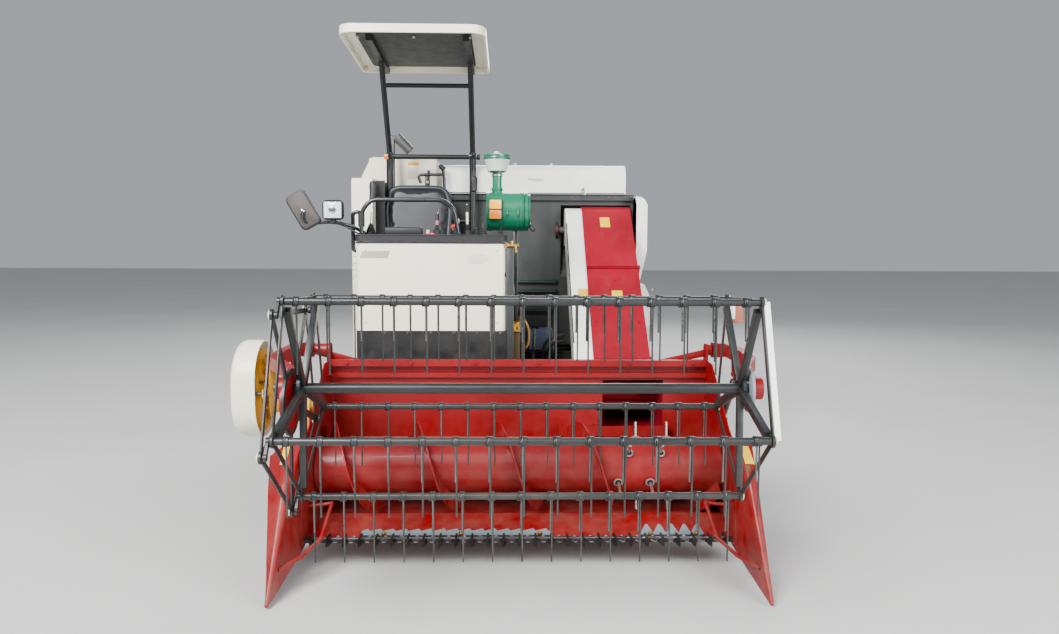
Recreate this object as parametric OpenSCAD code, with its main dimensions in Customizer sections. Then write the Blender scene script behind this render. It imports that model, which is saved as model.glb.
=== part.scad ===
// Rubber-tracked full-feed rice combine: open operator station at the front right,
// narrow feeder house at the front left, transverse thresher behind, grain tank at the right.
// Millimetres. +Z is up, the machine faces -Y, +X is the machine's left side.

/* [Header] */
// Place of the cutting header's middle, left of the machine's middle
header_x = 140; // [100:1:180]
// Clear width between the header's two side walls
cut_w = 2070; // [2000:10:2140]
// Place of the cutting edge along the machine
knife_y = -1520; // [-1540:1:-1500]
// Height of the cutting edge above the ground
knife_z = 140; // [130:1:150]
// Thickness of the header's steel sheet
sheet_t = 6; // [4:1:8]
// Place of the header's rear wall
back_y = -826; // [-850:1:-810]
// Height of the beam along the top of the rear wall
beam_z = 900; // [880:1:920]
// Reach of the divider tips ahead of the cutting edge
tip_reach = 480; // [440:1:500]
// Highest point of the dividers
divider_h = 600; // [560:1:640]
// Width of a divider at its root
divider_w = 84; // [70:1:90]

/* [Auger] */
// Place of the auger's axis along the machine
auger_y = -1163; // [-1170:1:-1155]
// Height of the auger's axis
auger_z = 400; // [392:1:410]
// Radius of the auger tube
auger_tube_r = 140; // [120:1:150]
// Radius over the auger's flights
auger_r = 228; // [200:1:230]
// Pitch of the auger's flights
auger_pitch = 420; // [380:10:460]

/* [Reel] */
// Place of the reel's axis along the machine
reel_y = -2011; // [-2030:1:-2000]
// Height of the reel's axis
reel_z = 954; // [945:1:970]
// Radius of the circle that the tine bars run on
reel_r = 452; // [440:1:456]
// Half of the tine bars' length
reel_half = 915; // [890:1:920]
// Radius of a tine bar
tine_bar_r = 14; // [12:1:16]
// Length of a tine below its bar
tine_l = 280; // [240:1:290]
// Tines on each bar
tine_count = 15; // [11:1:17]
// Turn of the reel at rest
reel_phase = 51.4; // [45:0.1:58]
// Offset of the eccentric ring ahead of the reel's axis
ring_dy = -40; // [-45:1:-35]
// Offset of the eccentric ring below the reel's axis
ring_dz = -50; // [-55:1:-45]
// Place of the reel arms' pivots along the machine
arm_y = -796; // [-800:1:-790]
// Height of the reel arms' pivots
arm_z = 960; // [955:1:965]

/* [Feeder] */
// Place of the feeder's upper shaft along the machine
pivot_y = 715; // [710:1:720]
// Height of the feeder's upper shaft
pivot_z = 1640; // [1636:1:1644]
// Slope of the feeder house
feeder_slope = 43.5; // [43:0.1:44]
// Depth of the feeder house across its slope
feeder_deep = 340; // [330:1:345]
// Right side of the feeder house
feeder_x0 = 600; // [596:1:604]
// Left side of the feeder house
feeder_x1 = 948; // [940:1:952]
// Width of the chain drive's cover beside the feeder
drive_cover_w = 116; // [100:1:120]

/* [Tracks] */
// Distance of each track's middle from the machine's middle
track_x = 550; // [545:1:560]
// Width of a track
track_w = 400; // [380:5:410]
// Height of a track lug
lug_h = 34; // [28:1:38]
// Thickness of the track's belt
belt_t = 24; // [20:1:28]
// Number of lugs round a track
lug_count = 46; // [40:1:48]

/* [Platform] */
// Right side of the operator's front panel
panel_x0 = -788; // [-800:1:-780]
// Left side of the operator's front panel
panel_x1 = 69; // [60:1:76]
// Place of the front panel
panel_y = -648; // [-655:1:-640]
// Height of the front panel's lower edge
panel_z0 = 1048; // [1040:1:1056]
// Height of the front panel's upper edge
panel_z1 = 1557; // [1550:1:1565]
// Height of the operator's floor
floor_z = 880; // [876:1:890]
// Height of the seat cushion's top
seat_z = 1470; // [1460:1:1480]
// Middle of the seat
seat_x = -556; // [-566:1:-546]
// Width of the seat
seat_w = 450; // [430:1:460]
// Height of the canopy's upper face
canopy_z = 2840; // [2820:1:2860]

/* [Thresher] */
// Right side of the thresher body
thresher_x0 = -400; // [-405:1:-390]
// Left side of the thresher body
thresher_x1 = 985; // [980:1:990]
// Front wall of the thresher body
thresher_y0 = 740; // [736:1:744]
// Rear wall of the thresher body
thresher_y1 = 1950; // [1940:1:1960]
// Lower face of the thresher body
thresher_z0 = 800; // [796:1:806]
// Upper face of the thresher body, under the lid
thresher_z1 = 1900; // [1896:1:1904]
// Height of the lid's top
lid_z = 2110; // [2100:1:2120]
// Rear end of the straw hood
hood_y = 2505; // [2480:1:2530]

/* [Grain tank] */
// Right side of the grain tank
tank_x0 = -1057; // [-1065:1:-1050]
// Left side of the grain tank
tank_x1 = -460; // [-470:1:-450]
// Front wall of the grain tank
tank_y0 = 889; // [880:1:895]
// Rear wall of the grain tank
tank_y1 = 1700; // [1690:1:1710]
// Top of the grain tank, with its lid
tank_z1 = 2172; // [2160:1:2180]
// Middle of the unloading tube, left of the machine's middle
boom_x = -860; // [-870:1:-850]
// Place of the unloading tube along the machine
boom_y = 1930; // [1925:1:1940]
// Radius of the unloading tube
boom_r = 68; // [60:1:72]

/* [Fits] */
// Clearance of a pin or shaft in its bore, on the radius
pin_gap = 0.3; // [0.2:0.1:0.5]
// Clearance between faces that rest on each other
seat_gap = 0.3; // [0.2:0.1:0.5]
// Clearance between pieces that move past each other
run_gap = 6; // [5:1:8]

/* [Hidden] */
$fn = 48;
facet_fn = 32;

// The header's sides
wall_x0 = header_x - cut_w / 2;
wall_x1 = header_x + cut_w / 2;
tip_y = knife_y - tip_reach;
pan_front_y = knife_y + 40;
pan_z = knife_z - 24;
trough_r = auger_r + 14;

// The feeder's slope as a direction and a normal
ux = cos(feeder_slope);
uz = sin(feeder_slope);
feeder_r = feeder_deep / 2;
function feeder_pt(along, down) =
    [pivot_y - uz * feeder_r + ux * along + uz * down,
     pivot_z + ux * feeder_r + uz * along - ux * down];
adapter_top = 800;
adapter_low = 480;
top_along = (adapter_top - pivot_z - ux * feeder_r) / uz;
low_along = (adapter_low - pivot_z - ux * feeder_r + ux * feeder_deep) / uz;

// The reel's stations, from the reel's left spider inwards and outwards
spider_t = 10;
crank_t = 10;
ring_t = 10;
spider_x0 = header_x - reel_half;
spider_x1 = header_x + reel_half;
crank_x = spider_x0 - run_gap - crank_t;
ring_x = crank_x - run_gap - ring_t;
arm_right_out = 66;
arm_left_out = 123;
arm_right_x = wall_x1 + arm_right_out;
arm_left_x = wall_x0 - arm_left_out;
arm_w = 44;
hub_plate_r = 112;
shaft_r = 22;
reel_pin_r = 10;
crank_pin_r = 8;
ring_y = reel_y + ring_dy;
ring_z = reel_z + ring_dz;
bar_steps = [0, 1, 2, 3, 4];
function bar_angle(i) = reel_phase + 72 * i;
function bar_y(i) = reel_y + reel_r * cos(bar_angle(i));
function bar_z(i) = reel_z + reel_r * sin(bar_angle(i));

// The header's lift cylinder: fixed eye on the frame and rod eye on the feeder
lift_x = 250;
lift_y = 300;
lift_z = 240;
lift_eye_y = -420;
lift_eye_z = 430;
lift_r = 30;
lift_rod_r = 17;
lift_len = sqrt(pow(lift_y - lift_eye_y, 2) + pow(lift_z - lift_eye_z, 2));
lift_angle = atan2(lift_eye_z - lift_z, lift_eye_y - lift_y);

// The reel's two lift cylinders: fixed eyes on the header's walls and rod eyes on the arms
reel_lift_y = -960;
reel_lift_z = 600;
reel_eye_y = -1250;
reel_eye_z = 896;
reel_lift_r = 20;
reel_rod_r = 11;
reel_lift_len = sqrt(pow(reel_lift_y - reel_eye_y, 2) + pow(reel_lift_z - reel_eye_z, 2));
reel_lift_angle = atan2(reel_eye_z - reel_lift_z, reel_eye_y - reel_lift_y);

// A box between two corners
module span(x0, x1, y0, y1, z0, z1)
    translate([x0, y0, z0]) cube([x1 - x0, y1 - y0, z1 - z0]);

// Round bars along each axis
module rod_x(x0, x1, y, z, r)
    translate([x0, y, z]) rotate([0, 90, 0]) cylinder(h = x1 - x0, r = r);
module rod_y(y0, y1, x, z, r)
    translate([x, y0, z]) rotate([-90, 0, 0]) cylinder(h = y1 - y0, r = r);
module rod_z(z0, z1, x, y, r)
    translate([x, y, z0]) cylinder(h = z1 - z0, r = r);

// A plate whose outline is drawn in Y and Z
module side_plate(x0, x1, outline)
    translate([x0, 0, 0]) rotate([90, 0, 90]) linear_extrude(x1 - x0) polygon(outline);

// A plate whose outline is drawn in X and Z
module front_plate(y0, y1, outline)
    translate([0, y1, 0]) rotate([90, 0, 0]) linear_extrude(y1 - y0) polygon(outline);

// A round bar from p to q, and a bent one through several points
module strut(p, q, r) {
    d = q - p;
    translate(p) rotate([0, acos(d.z / norm(d)), atan2(d.y, d.x)]) cylinder(h = norm(d), r = r);
}
module bent(points, r) {
    for (i = [0 : len(points) - 2]) strut(points[i], points[i + 1], r);
    for (i = [1 : len(points) - 2]) translate(points[i]) sphere(r = r + 0.6);
}

// A flat bar between two places in the YZ plane, shorter by a cut at each end
module link(x0, x1, y0, z0, y1, z1, w, cut0 = 0, cut1 = 0)
    translate([x0, y0, z0]) rotate([atan2(z1 - z0, y1 - y0), 0, 0])
        translate([0, cut0, -w / 2]) cube([x1 - x0, norm([y1 - y0, z1 - z0]) - cut0 - cut1, w]);

// A sheet bent along a line in Y and Z: the line and the same line moved by the thickness
function arc(y, z, r, a0, a1, n) =
    [for (i = [0 : n]) let (a = a0 + (a1 - a0) * i / n) [y + r * cos(a), z + r * sin(a)]];
function back(list) = [for (i = [len(list) - 1 : -1 : 0]) list[i]];

// Tracks: a loop round the sprocket, the rear idler and the front roller
sprocket = [130, 430, 215];
idler = [1540, lug_h + 240, 240];
roller = [330, lug_h + 100, 100];
function seg_normal(a, b) =
    atan2(b[1] - a[1], b[0] - a[0]) - acos((a[2] - b[2]) / norm([b[0] - a[0], b[1] - a[1]]));
loop_circles = [roller, idler, sprocket];
loop_angles = [
    -90,
    seg_normal(idler, sprocket),
    360 + seg_normal(sprocket, roller)
];
function on_circle(c, a, out) = [c[0] + (c[2] + out) * cos(a), c[1] + (c[2] + out) * sin(a)];
function seg_len(i) =
    norm(on_circle(loop_circles[(i + 1) % 3], loop_angles[i], 0)
        - on_circle(loop_circles[i], loop_angles[i], 0));
function turn(i) = ((loop_angles[(i + 1) % 3] - loop_angles[i]) % 360 + 360) % 360;
function arc_len(i) = loop_circles[(i + 1) % 3][2] * turn(i) * PI / 180;
loop_len = seg_len(0) + arc_len(0) + seg_len(1) + arc_len(1) + seg_len(2) + arc_len(2);
function loop_pt(s, out, i = 0) =
    s < seg_len(i)
        ? let (p = on_circle(loop_circles[i], loop_angles[i], out),
               q = on_circle(loop_circles[(i + 1) % 3], loop_angles[i], out))
          p + (q - p) * s / seg_len(i)
        : s < seg_len(i) + arc_len(i) || i == 2
            ? on_circle(loop_circles[(i + 1) % 3],
                loop_angles[i] + turn(i) * (s - seg_len(i)) / arc_len(i), out)
            : loop_pt(s - seg_len(i) - arc_len(i), out, i + 1);

// One lug as columns [share of the pitch, height above the belt]
lug_profile = [[0, 0], [0.26, 0], [0.34, 1], [0.66, 1], [0.74, 0]];
lug_pitch = loop_len / lug_count;
module rubber_track(side) {
    outer = [for (k = [0 : lug_count - 1]) for (p = lug_profile)
        loop_pt((k + p[0]) * lug_pitch, p[1] * lug_h)];
    inner = [for (k = [0 : 2 * lug_count - 1]) loop_pt((k + 0.5) / 2 * lug_pitch, -belt_t)];
    color([0.07, 0.07, 0.07])
    translate([side * track_x - track_w / 2, 0, 0]) rotate([90, 0, 90])
        linear_extrude(track_w) difference() {
            polygon(outer);
            polygon(inner);
        }
}
module track_left() rubber_track(1);
module track_right() rubber_track(-1);

// Wheels inside the tracks, each with its rim's fit to the belt
wheel_fit = 2.4;
beam_z0 = 240;
beam_z1 = 320;
module wheel_pair(x, c, w, r_hub) {
    r = c[2] - belt_t - wheel_fit;
    for (s = [-1, 1]) rod_x(x + s * 75 - w / 2, x + s * 75 + w / 2, c[0], c[1], r);
    rod_x(x - 75, x + 75, c[0], c[1], r_hub);
}
module track_wheels() color([0.16, 0.16, 0.17])
    for (side = [-1, 1]) {
        x = side * track_x;
        difference() {
            rod_x(x - 32, x + 32, sprocket[0], sprocket[1], sprocket[2] - belt_t - wheel_fit);
            for (a = [0 : 60 : 300])
                rod_x(x - 40, x + 40, sprocket[0] + 120 * cos(a), sprocket[1] + 120 * sin(a), 36);
        }
        difference() {
            wheel_pair(x, idler, 34, 46);
            for (a = [30 : 60 : 330])
                rod_x(x - 120, x + 120, idler[0] + 130 * cos(a), idler[1] + 130 * sin(a), 38);
        }
        for (y = [roller[0] : (idler[0] - 260 - roller[0]) / 3 : idler[0] - 250])
            wheel_pair(x, [y, roller[1], roller[2]], 46, 24);
    }

// Main frame: deck rails above the tracks, legs, cross tubes and the two track beams
deck_z0 = 680;
deck_z1 = 760;
deck_rails = [ // x0, x1, y0, y1
    [-620, -540, -600, 1900], [-40, 40, -560, 700], [560, 640, 160, 1900],
    [-960, -900, -600, 1900], [900, 960, 160, 1900],
    [-960, 60, -640, -560], [-960, 960, 160, 240], [-620, 640, 418, 482], [-960, 960, 618, 700],
    [-960, -180, 900, 980], [228, 960, 900, 980], [-960, -180, 1210, 1290], [228, 960, 1210, 1290],
    [-960, 960, 1820, 1900]
];
tube_ys = [450, 1250];
tow_y = 1960;
tow_z = 590;
tow_r = 15;
lash_y = 1700;
lash_z = 646;
lash_r = 16;
module chassis_frame() color([0.13, 0.14, 0.14]) {
    for (r = deck_rails) span(r[0], r[1], r[2], r[3], deck_z0, deck_z1);
    for (side = [-1, 1]) {
        for (y = tube_ys) span(side * 260 - 32, side * 260 + 32, y - 32, y + 32, 250, deck_z0);
        span(side * track_x - 50, side * track_x + 50, 320, idler[0] - 60, beam_z0, beam_z1);
        for (y = [roller[0] : (idler[0] - 260 - roller[0]) / 3 : idler[0] - 250])
            span(side * track_x - 20, side * track_x + 20, y - 34, y + 34, roller[1] + 24 + seat_gap, beam_z0);
        for (s = [-1, 1])
            span(side * track_x + s * 40 - 8, side * track_x + s * 40 + 8,
                idler[0] - 130, idler[0] - 46 - seat_gap, idler[1] - 30, idler[1] + 30);
    }
    for (y = tube_ys) rod_x(-track_x, track_x, y, 280, 34);
    for (s = [-1, 1])
        side_plate(lift_x + s * 40 - 6, lift_x + s * 40 + 6,
            concat(arc(lift_y, lift_z, 38, 90, 270, 12), [[430, 222], [430, 330]]));
    rod_x(lift_x - 47, lift_x + 47, lift_y, lift_z, 14);
    difference() {
        union() {
            span(-60, 60, 1780, tow_y + 45, tow_z, tow_z + 16);
            for (s = [-1, 1]) span(s * 50 - 6, s * 50 + 6, 1822, 1898, tow_z + 1, deck_z0 + 1);
        }
        rod_z(tow_z - 1, tow_z + 17, 0, tow_y, tow_r);
    }
    for (s = [-1, 1])
        difference() {
            span(s * 930 - 9, s * 930 + 9, lash_y - 35, lash_y + 35, lash_z - 34, deck_z0 + 1);
            rod_x(s * 930 - 10, s * 930 + 10, lash_y, lash_z, lash_r);
        }
}

// Gearbox with its axle tubes out to the sprockets
module transmission() color([0.30, 0.32, 0.33]) {
    side_plate(-140, 140, [[-10, 470], [40, 330], [220, 320], [300, 400], [300, 640], [240, 679.7],
        [60, 679.7], [-10, 620]]);
    for (s = [-1, 1]) {
        axle_end = track_x - 32 - seat_gap;
        rod_x(s > 0 ? 139 : -axle_end, s > 0 ? axle_end : -139, sprocket[0], sprocket[1], 45);
        rod_x(s > 0 ? track_x - 110 : -axle_end, s > 0 ? axle_end : -track_x + 110, sprocket[0], sprocket[1], 80);
    }
}

// Engine as one plain block, and the cover over it that carries the seat
cover_x0 = -738;
cover_x1 = -212;
cover_y0 = -40;
cover_y1 = 600;
cover_z1 = 1330;
module engine_block() color([0.25, 0.26, 0.27])
    span(cover_x0 + 50, cover_x1 - 50, cover_y0 + 60, cover_y1 - 40, deck_z1 + seat_gap, cover_z1 - 90);
module engine_cover() color([0.12, 0.12, 0.13]) difference() {
    span(cover_x0, cover_x1, cover_y0, cover_y1, floor_z + seat_gap, cover_z1);
    span(cover_x0 + 5, cover_x1 - 5, cover_y0 + 5, cover_y1 - 5, floor_z - 1, cover_z1 - 5);
    for (k = [0 : 7])
        span(cover_x0 - 1, cover_x0 + 6, cover_y0 + 200, cover_y1 - 200, 980 + k * 30, 992 + k * 30);
}

// Operator's floor with its bearers and the black apron under the front panel
module operator_floor() color([0.12, 0.12, 0.13]) {
    difference() {
        span(panel_x0, panel_x1, panel_y + 20, cover_y1 + 10, floor_z - 30, floor_z);
        span(cover_x0 + 20, cover_x1 - 20, cover_y0 + 20, cover_y1 - 20, floor_z - 40, floor_z + 1);
    }
    for (x = [panel_x0 + 30, -580, -20])
        span(x - 25, x + 25, panel_y + 60, x == -580 ? cover_y0 - 20 : cover_y1, deck_z1 + seat_gap, floor_z - 29);
    span(panel_x0, panel_x1, panel_y + 8, panel_y + 21, deck_z1 + 30, panel_z0 - seat_gap);
}

// White front panel: a sheet with rounded corners and short returns
panel_deep = 190;
panel_round = 40;
module panel_outline(grow) {
    x0 = panel_x0 + panel_round;
    x1 = panel_x1 - panel_round;
    y = panel_y + panel_round;
    r = panel_round - grow;
    polygon(concat(arc(x0, y, r, 180, 270, 8), arc(x1, y, r, 270, 360, 8),
        [[panel_x1 - grow, panel_y + panel_deep + grow], [panel_x0 + grow, panel_y + panel_deep + grow]]));
}
module front_panel() color([0.93, 0.92, 0.84])
    translate([0, 0, panel_z0]) linear_extrude(panel_z1 - panel_z0) difference() {
        panel_outline(0);
        panel_outline(12);
    }

// Heights of the side console and of the raised step at its front
console_z = 1440;
step_z = panel_z1 + 20;
step_y = -380;

// Dark dash strip above the panel and the side console by the driver's left hand
module console() color([0.11, 0.11, 0.12]) {
    translate([0, 0, panel_z1 + seat_gap]) linear_extrude(39)
        polygon(concat(arc(panel_x0 + 34, panel_y + 30, 38, 180, 270, 8),
            arc(panel_x1 - 34, panel_y + 30, 38, 270, 360, 8),
            [[panel_x1 + 4, panel_y + panel_deep], [panel_x0 - 4, panel_y + panel_deep]]));
    span(-140, panel_x1, panel_y + panel_deep + seat_gap, 260, floor_z + seat_gap, console_z);
    span(-140, panel_x1 - 12 - seat_gap, panel_y + panel_deep - 10, step_y, console_z - 60, step_z);
}

// Seat: frame, and cushion and back as plain soft solids
seat_y0 = 10;
seat_y1 = 440;
cushion_t = 110;
module seat_frame() color([0.10, 0.10, 0.10]) {
    span(seat_x - 190, seat_x + 190, seat_y0 + 40, seat_y1 - 20, seat_z - cushion_t - 14, seat_z - cushion_t);
    for (s = [-1, 1])
        span(seat_x + s * 150 - 18, seat_x + s * 150 + 18, seat_y0 + 50, seat_y1 - 30,
            cover_z1 + seat_gap, seat_z - cushion_t - 13);
    side_plate(seat_x - 150, seat_x + 150, [[seat_y1 - 20, seat_z - cushion_t - 14],
        [seat_y1 + 118, seat_z - cushion_t - 14], [seat_y1 + 176, 1840], [seat_y1 + 166, 1840],
        [seat_y1 + 108, seat_z - cushion_t], [seat_y1 - 20, seat_z - cushion_t]]);
}
module seat_cushion() color([0.08, 0.08, 0.09])
    side_plate(seat_x - seat_w / 2, seat_x + seat_w / 2,
        [[seat_y0, seat_z - cushion_t + seat_gap], [seat_y1, seat_z - cushion_t + seat_gap],
         [seat_y1 + 20, seat_z], [seat_y0 + 20, seat_z + 4], [seat_y0, seat_z - 30]]);
function back_face(z) = seat_y1 + 108 - seat_gap + (z - seat_z + cushion_t) * 58 / (1840 - seat_z + cushion_t);
module seat_back() color([0.08, 0.08, 0.09]) intersection() {
    side_plate(seat_x - 260, seat_x + 260,
        [[seat_y1 + 30, seat_z + 6], [back_face(seat_z + 6), seat_z + 6], [back_face(1900), 1900],
         [seat_y1 + 165, 1950], [seat_y1 + 110, 1950]]);
    front_plate(seat_y1, seat_y1 + 190, concat([[seat_x - 225, seat_z + 6], [seat_x + 225, seat_z + 6]],
        arc(seat_x + 206, 1800, 44, -10, 20, 4), arc(seat_x + 168, 1906, 44, 20, 90, 6),
        arc(seat_x - 180, 1906, 44, 90, 160, 6), arc(seat_x - 206, 1800, 44, 160, 190, 4)));
}

// Canopy: frame of tubes, roof shell with a lip, and the dark liner under it
post_x = [-770, -180];
post_low_y = 650;
post_top_y = 300;
post_bend_z = 2180;
post_drop = 92;
post_top_z = canopy_z - post_drop;
roof_x0 = -940;
roof_x1 = -60;
roof_y0 = -320;
roof_y1 = 600;
roof_tilt = 4;
module roof_place() translate([0, roof_y0, canopy_z]) rotate([-roof_tilt, 0, 0]) children();
module roof_outline(grow, front_r = 90, rear_r = 50) {
    x0 = roof_x0 + grow;
    x1 = roof_x1 - grow;
    y1 = roof_y1 - roof_y0 - grow;
    polygon(concat(arc(x0 + front_r, grow + front_r, front_r, 180, 270, 8),
        arc(x1 - front_r, grow + front_r, front_r, 270, 360, 8),
        arc(x1 - rear_r, y1 - rear_r, rear_r, 0, 90, 6), arc(x0 + rear_r, y1 - rear_r, rear_r, 90, 180, 6)));
}
module canopy_roof() color([0.93, 0.91, 0.84]) roof_place() difference() {
    translate([0, 0, -50]) linear_extrude(50) roof_outline(0);
    translate([0, 0, -60]) linear_extrude(48) roof_outline(14, 76, 36);
}
module canopy_liner() color([0.15, 0.16, 0.17]) roof_place()
    translate([0, 0, -12 - seat_gap - 16]) linear_extrude(16) roof_outline(90, 40, 40);
module canopy_frame() color([0.10, 0.11, 0.12]) {
    for (x = post_x) {
        rod_z(deck_z1 + seat_gap, post_bend_z + 5, x, post_low_y, 24);
        bent([[x, post_low_y, post_bend_z - 30], [x, post_low_y, post_bend_z], [x, post_top_y, post_top_z]], 19);
        roof_place() span(x - 20, x + 20, 120, roof_y1 - roof_y0 - 30, -12 - 2 * seat_gap - 16 - 36,
            -12 - 2 * seat_gap - 16);
    }
    rod_x(post_x[0], post_x[1], post_low_y + (post_top_y - post_low_y) * 0.75,
        post_bend_z + (post_top_z - post_bend_z) * 0.75, 15);
    rod_x(post_x[0] - 10, post_x[1] + 40, post_low_y, post_bend_z - 25, 17);
    for (z = [1000, 1700]) rod_x(post_x[0], post_x[1], post_low_y, z, 15);
    span(post_x[0] - 64, post_x[0] - 42, post_low_y - 210, post_low_y - 2, 1560, 1972);
    span(post_x[0] - 64, post_x[0] - 6, post_low_y - 210, post_low_y - 202, 1560, 1972);
    span(post_x[0] - 64, post_x[0], post_low_y - 10, post_low_y - 2, 1560, 1972);
    for (x = post_x) span(x - 60, x + 60, post_low_y - 30, post_low_y + 50, deck_z1 + seat_gap, deck_z1 + 10);
    for (x = post_x) side_plate(x - 4, x + 4, [[post_low_y - 10, post_bend_z - 60],
        [post_low_y - 10, post_bend_z - 170], [post_low_y - 90, post_bend_z + 110], [post_low_y - 60, post_bend_z + 110]]);
}

// Handrails on the dash
rail_r = 13;
rail_y = -548;
module handrails() color([0.12, 0.12, 0.13]) {
    z0 = panel_z1 + 39 + 2 * seat_gap;
    bent([[-768, rail_y, z0], [-768, rail_y, 1720], [-715, rail_y, 1796], [-300, rail_y, 1796],
        [-235, rail_y, 1740], [-212, rail_y, z0 + 20], [-212, rail_y, z0]], rail_r);
    bent([[panel_x0 - seat_gap, rail_y + 75, 1500], [-830, rail_y + 75, 1500], [-830, rail_y + 75, 1690],
        [-806, rail_y + 75, 1726], [-782, rail_y + 75, 1690], [-782, rail_y + 75, z0]], rail_r);
}

// Levers as columns: foot x, foot y, lean in x, lean in y, height of the top, grip radius, grip length
levers = [
    [-727, -484, 12, 54, 1905, 17, 112], [-114, -420, -14, 30, 1940, 16, 84],
    [-160, -486, -4, 10, 1772, 8, 44], [-338, -500, 0, 30, 1716, 10, 40], [-66, -430, -4, 30, 1660, 12, 44],
    [20, -300, 10, 30, 1620, 14, 60], [-225, -505, 6, 40, 1690, 9, 40]
];
module control_levers() color([0.12, 0.12, 0.12])
    for (l = levers) {
        z0 = seat_gap + (l[1] < panel_y + panel_deep ? panel_z1 + 39 + seat_gap : l[1] < step_y ? step_z : console_z);
        foot = [l[0], l[1], z0 + 8];
        top = [l[0] + l[2], l[1] + l[3], l[4]];
        grip = top + (foot - top) * l[6] / norm(foot - top);
        strut(foot, grip + (top - grip) * 0.3, 6, $fn = 12);
        strut(grip, top, l[5]);
        rod_z(z0, z0 + 26, l[0], l[1], 22);
    }

// Work lamp and mirror on one bent arm
module lamp_mirror() color([0.12, 0.12, 0.13]) {
    arm_end = [-1100, -600, 1690];
    rod_z(panel_z1 + 39 + 2 * seat_gap, 1618, -768, -500, 14);
    bent([[-768, -500, 1608], [-830, -560, 1650], [-950, -590, 1668], [-1070, -600, 1650], arm_end], 10);
    span(-979, -859, -618, -570, 1678, 1788);
    strut([-919, -594, 1660], [-919, -594, 1690], 12);
    translate([-1085, -600, 1732]) rotate([0, -30, 0]) cube([112, 14, 205], center = true);
}

// Air cleaner: canister, stem and bowl, on a post from the frame
cleaner_x = 7;
cleaner_y = -132;
cleaner_z = 1746;
cleaner_r = 120;
module air_cleaner() color([0.10, 0.38, 0.26]) {
    rod_x(-58, 175, cleaner_y, cleaner_z, cleaner_r);
    rod_x(179, 200, cleaner_y, cleaner_z, cleaner_r);
    rod_x(174, 180, cleaner_y, cleaner_z, cleaner_r - 8);
    rod_x(199, 213, cleaner_y, cleaner_z, cleaner_r - 14);
    rod_z(cleaner_z + 80, 2000, cleaner_x, cleaner_y, 30);
    rod_z(1984, 1994, cleaner_x, cleaner_y, 46);
    translate([cleaner_x, cleaner_y, 1990]) cylinder(h = 76, r1 = 58, r2 = 77);
    rod_z(2065, 2094, cleaner_x, cleaner_y, 82);
    for (x = [62, 128])
        translate([x, cleaner_y, cleaner_z]) rotate([176, 0, 0])
            translate([0, cleaner_r - 3, -12]) cube([18, 9, 24]);
    strut([205, cleaner_y - 43, cleaner_z - 78], [230, cleaner_y - 60, cleaner_z - 112], 11);
    for (x = [-40, 150]) rod_x(x, x + 14, cleaner_y, cleaner_z, cleaner_r + 4);
    span(112, 136, cleaner_y - 12, cleaner_y + 12, floor_z - 100, cleaner_z - cleaner_r + 12);
    span(10, 136, cleaner_y - 12, cleaner_y + 12, deck_z1 + seat_gap, floor_z - 96);
}

// Exhaust pipe from the engine cover, with its slanted outlet behind the canopy's post
module exhaust_pipe() color([0.38, 0.38, 0.38]) {
    bent([[-700, cover_y1 + seat_gap, 1240], [-700, 780, 1240], [-772, 790, 1310], [-772, 790, 2300],
        [-730, 795, 2300]], 21);
    strut([-738, 795, 2312], [-642, 805, 2211], 36);
}

// White intake box beside the seat
module intake_box() color([0.92, 0.92, 0.86]) difference() {
    side_plate(-980, -842, [[300, deck_z1 + seat_gap], [850, deck_z1 + seat_gap], [850, 1900], [760, 1980],
        [326, 1980], [300, 1950]]);
    for (k = [0 : 17]) span(-981, -974, 360, 790, 1080 + k * 44, 1104 + k * 44);
    for (k = [0 : 5]) span(-976, -846, 299, 306, 1300 + k * 44, 1320 + k * 44);
}

// Steps on the machine's right side, under the platform
module step_plates() color([0.13, 0.13, 0.14]) {
    for (z = [420, 600]) span(-1010, -830, -420, -160, z, z + 20);
    for (y = [-420, -168]) side_plate(-968, -960.3, [[y, 400], [y + 8, 400], [y + 8, deck_z1], [y, deck_z1]]);
}

// Grey oil tank and the valve block between the platform and the feeder
module oil_tank() color([0.42, 0.48, 0.55]) {
    span(222, 382, 300, 440, deck_z1 + 60, 957);
    for (x = [240, 350]) span(x, x + 20, 310, 408, deck_z0 + 20, deck_z1 + 61);
    span(230, 372, 310, 330, deck_z0 + 20, deck_z0 + 60);
    span(230, 372, 240.3, 330, deck_z0 + 20, deck_z0 + 60);
}

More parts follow.
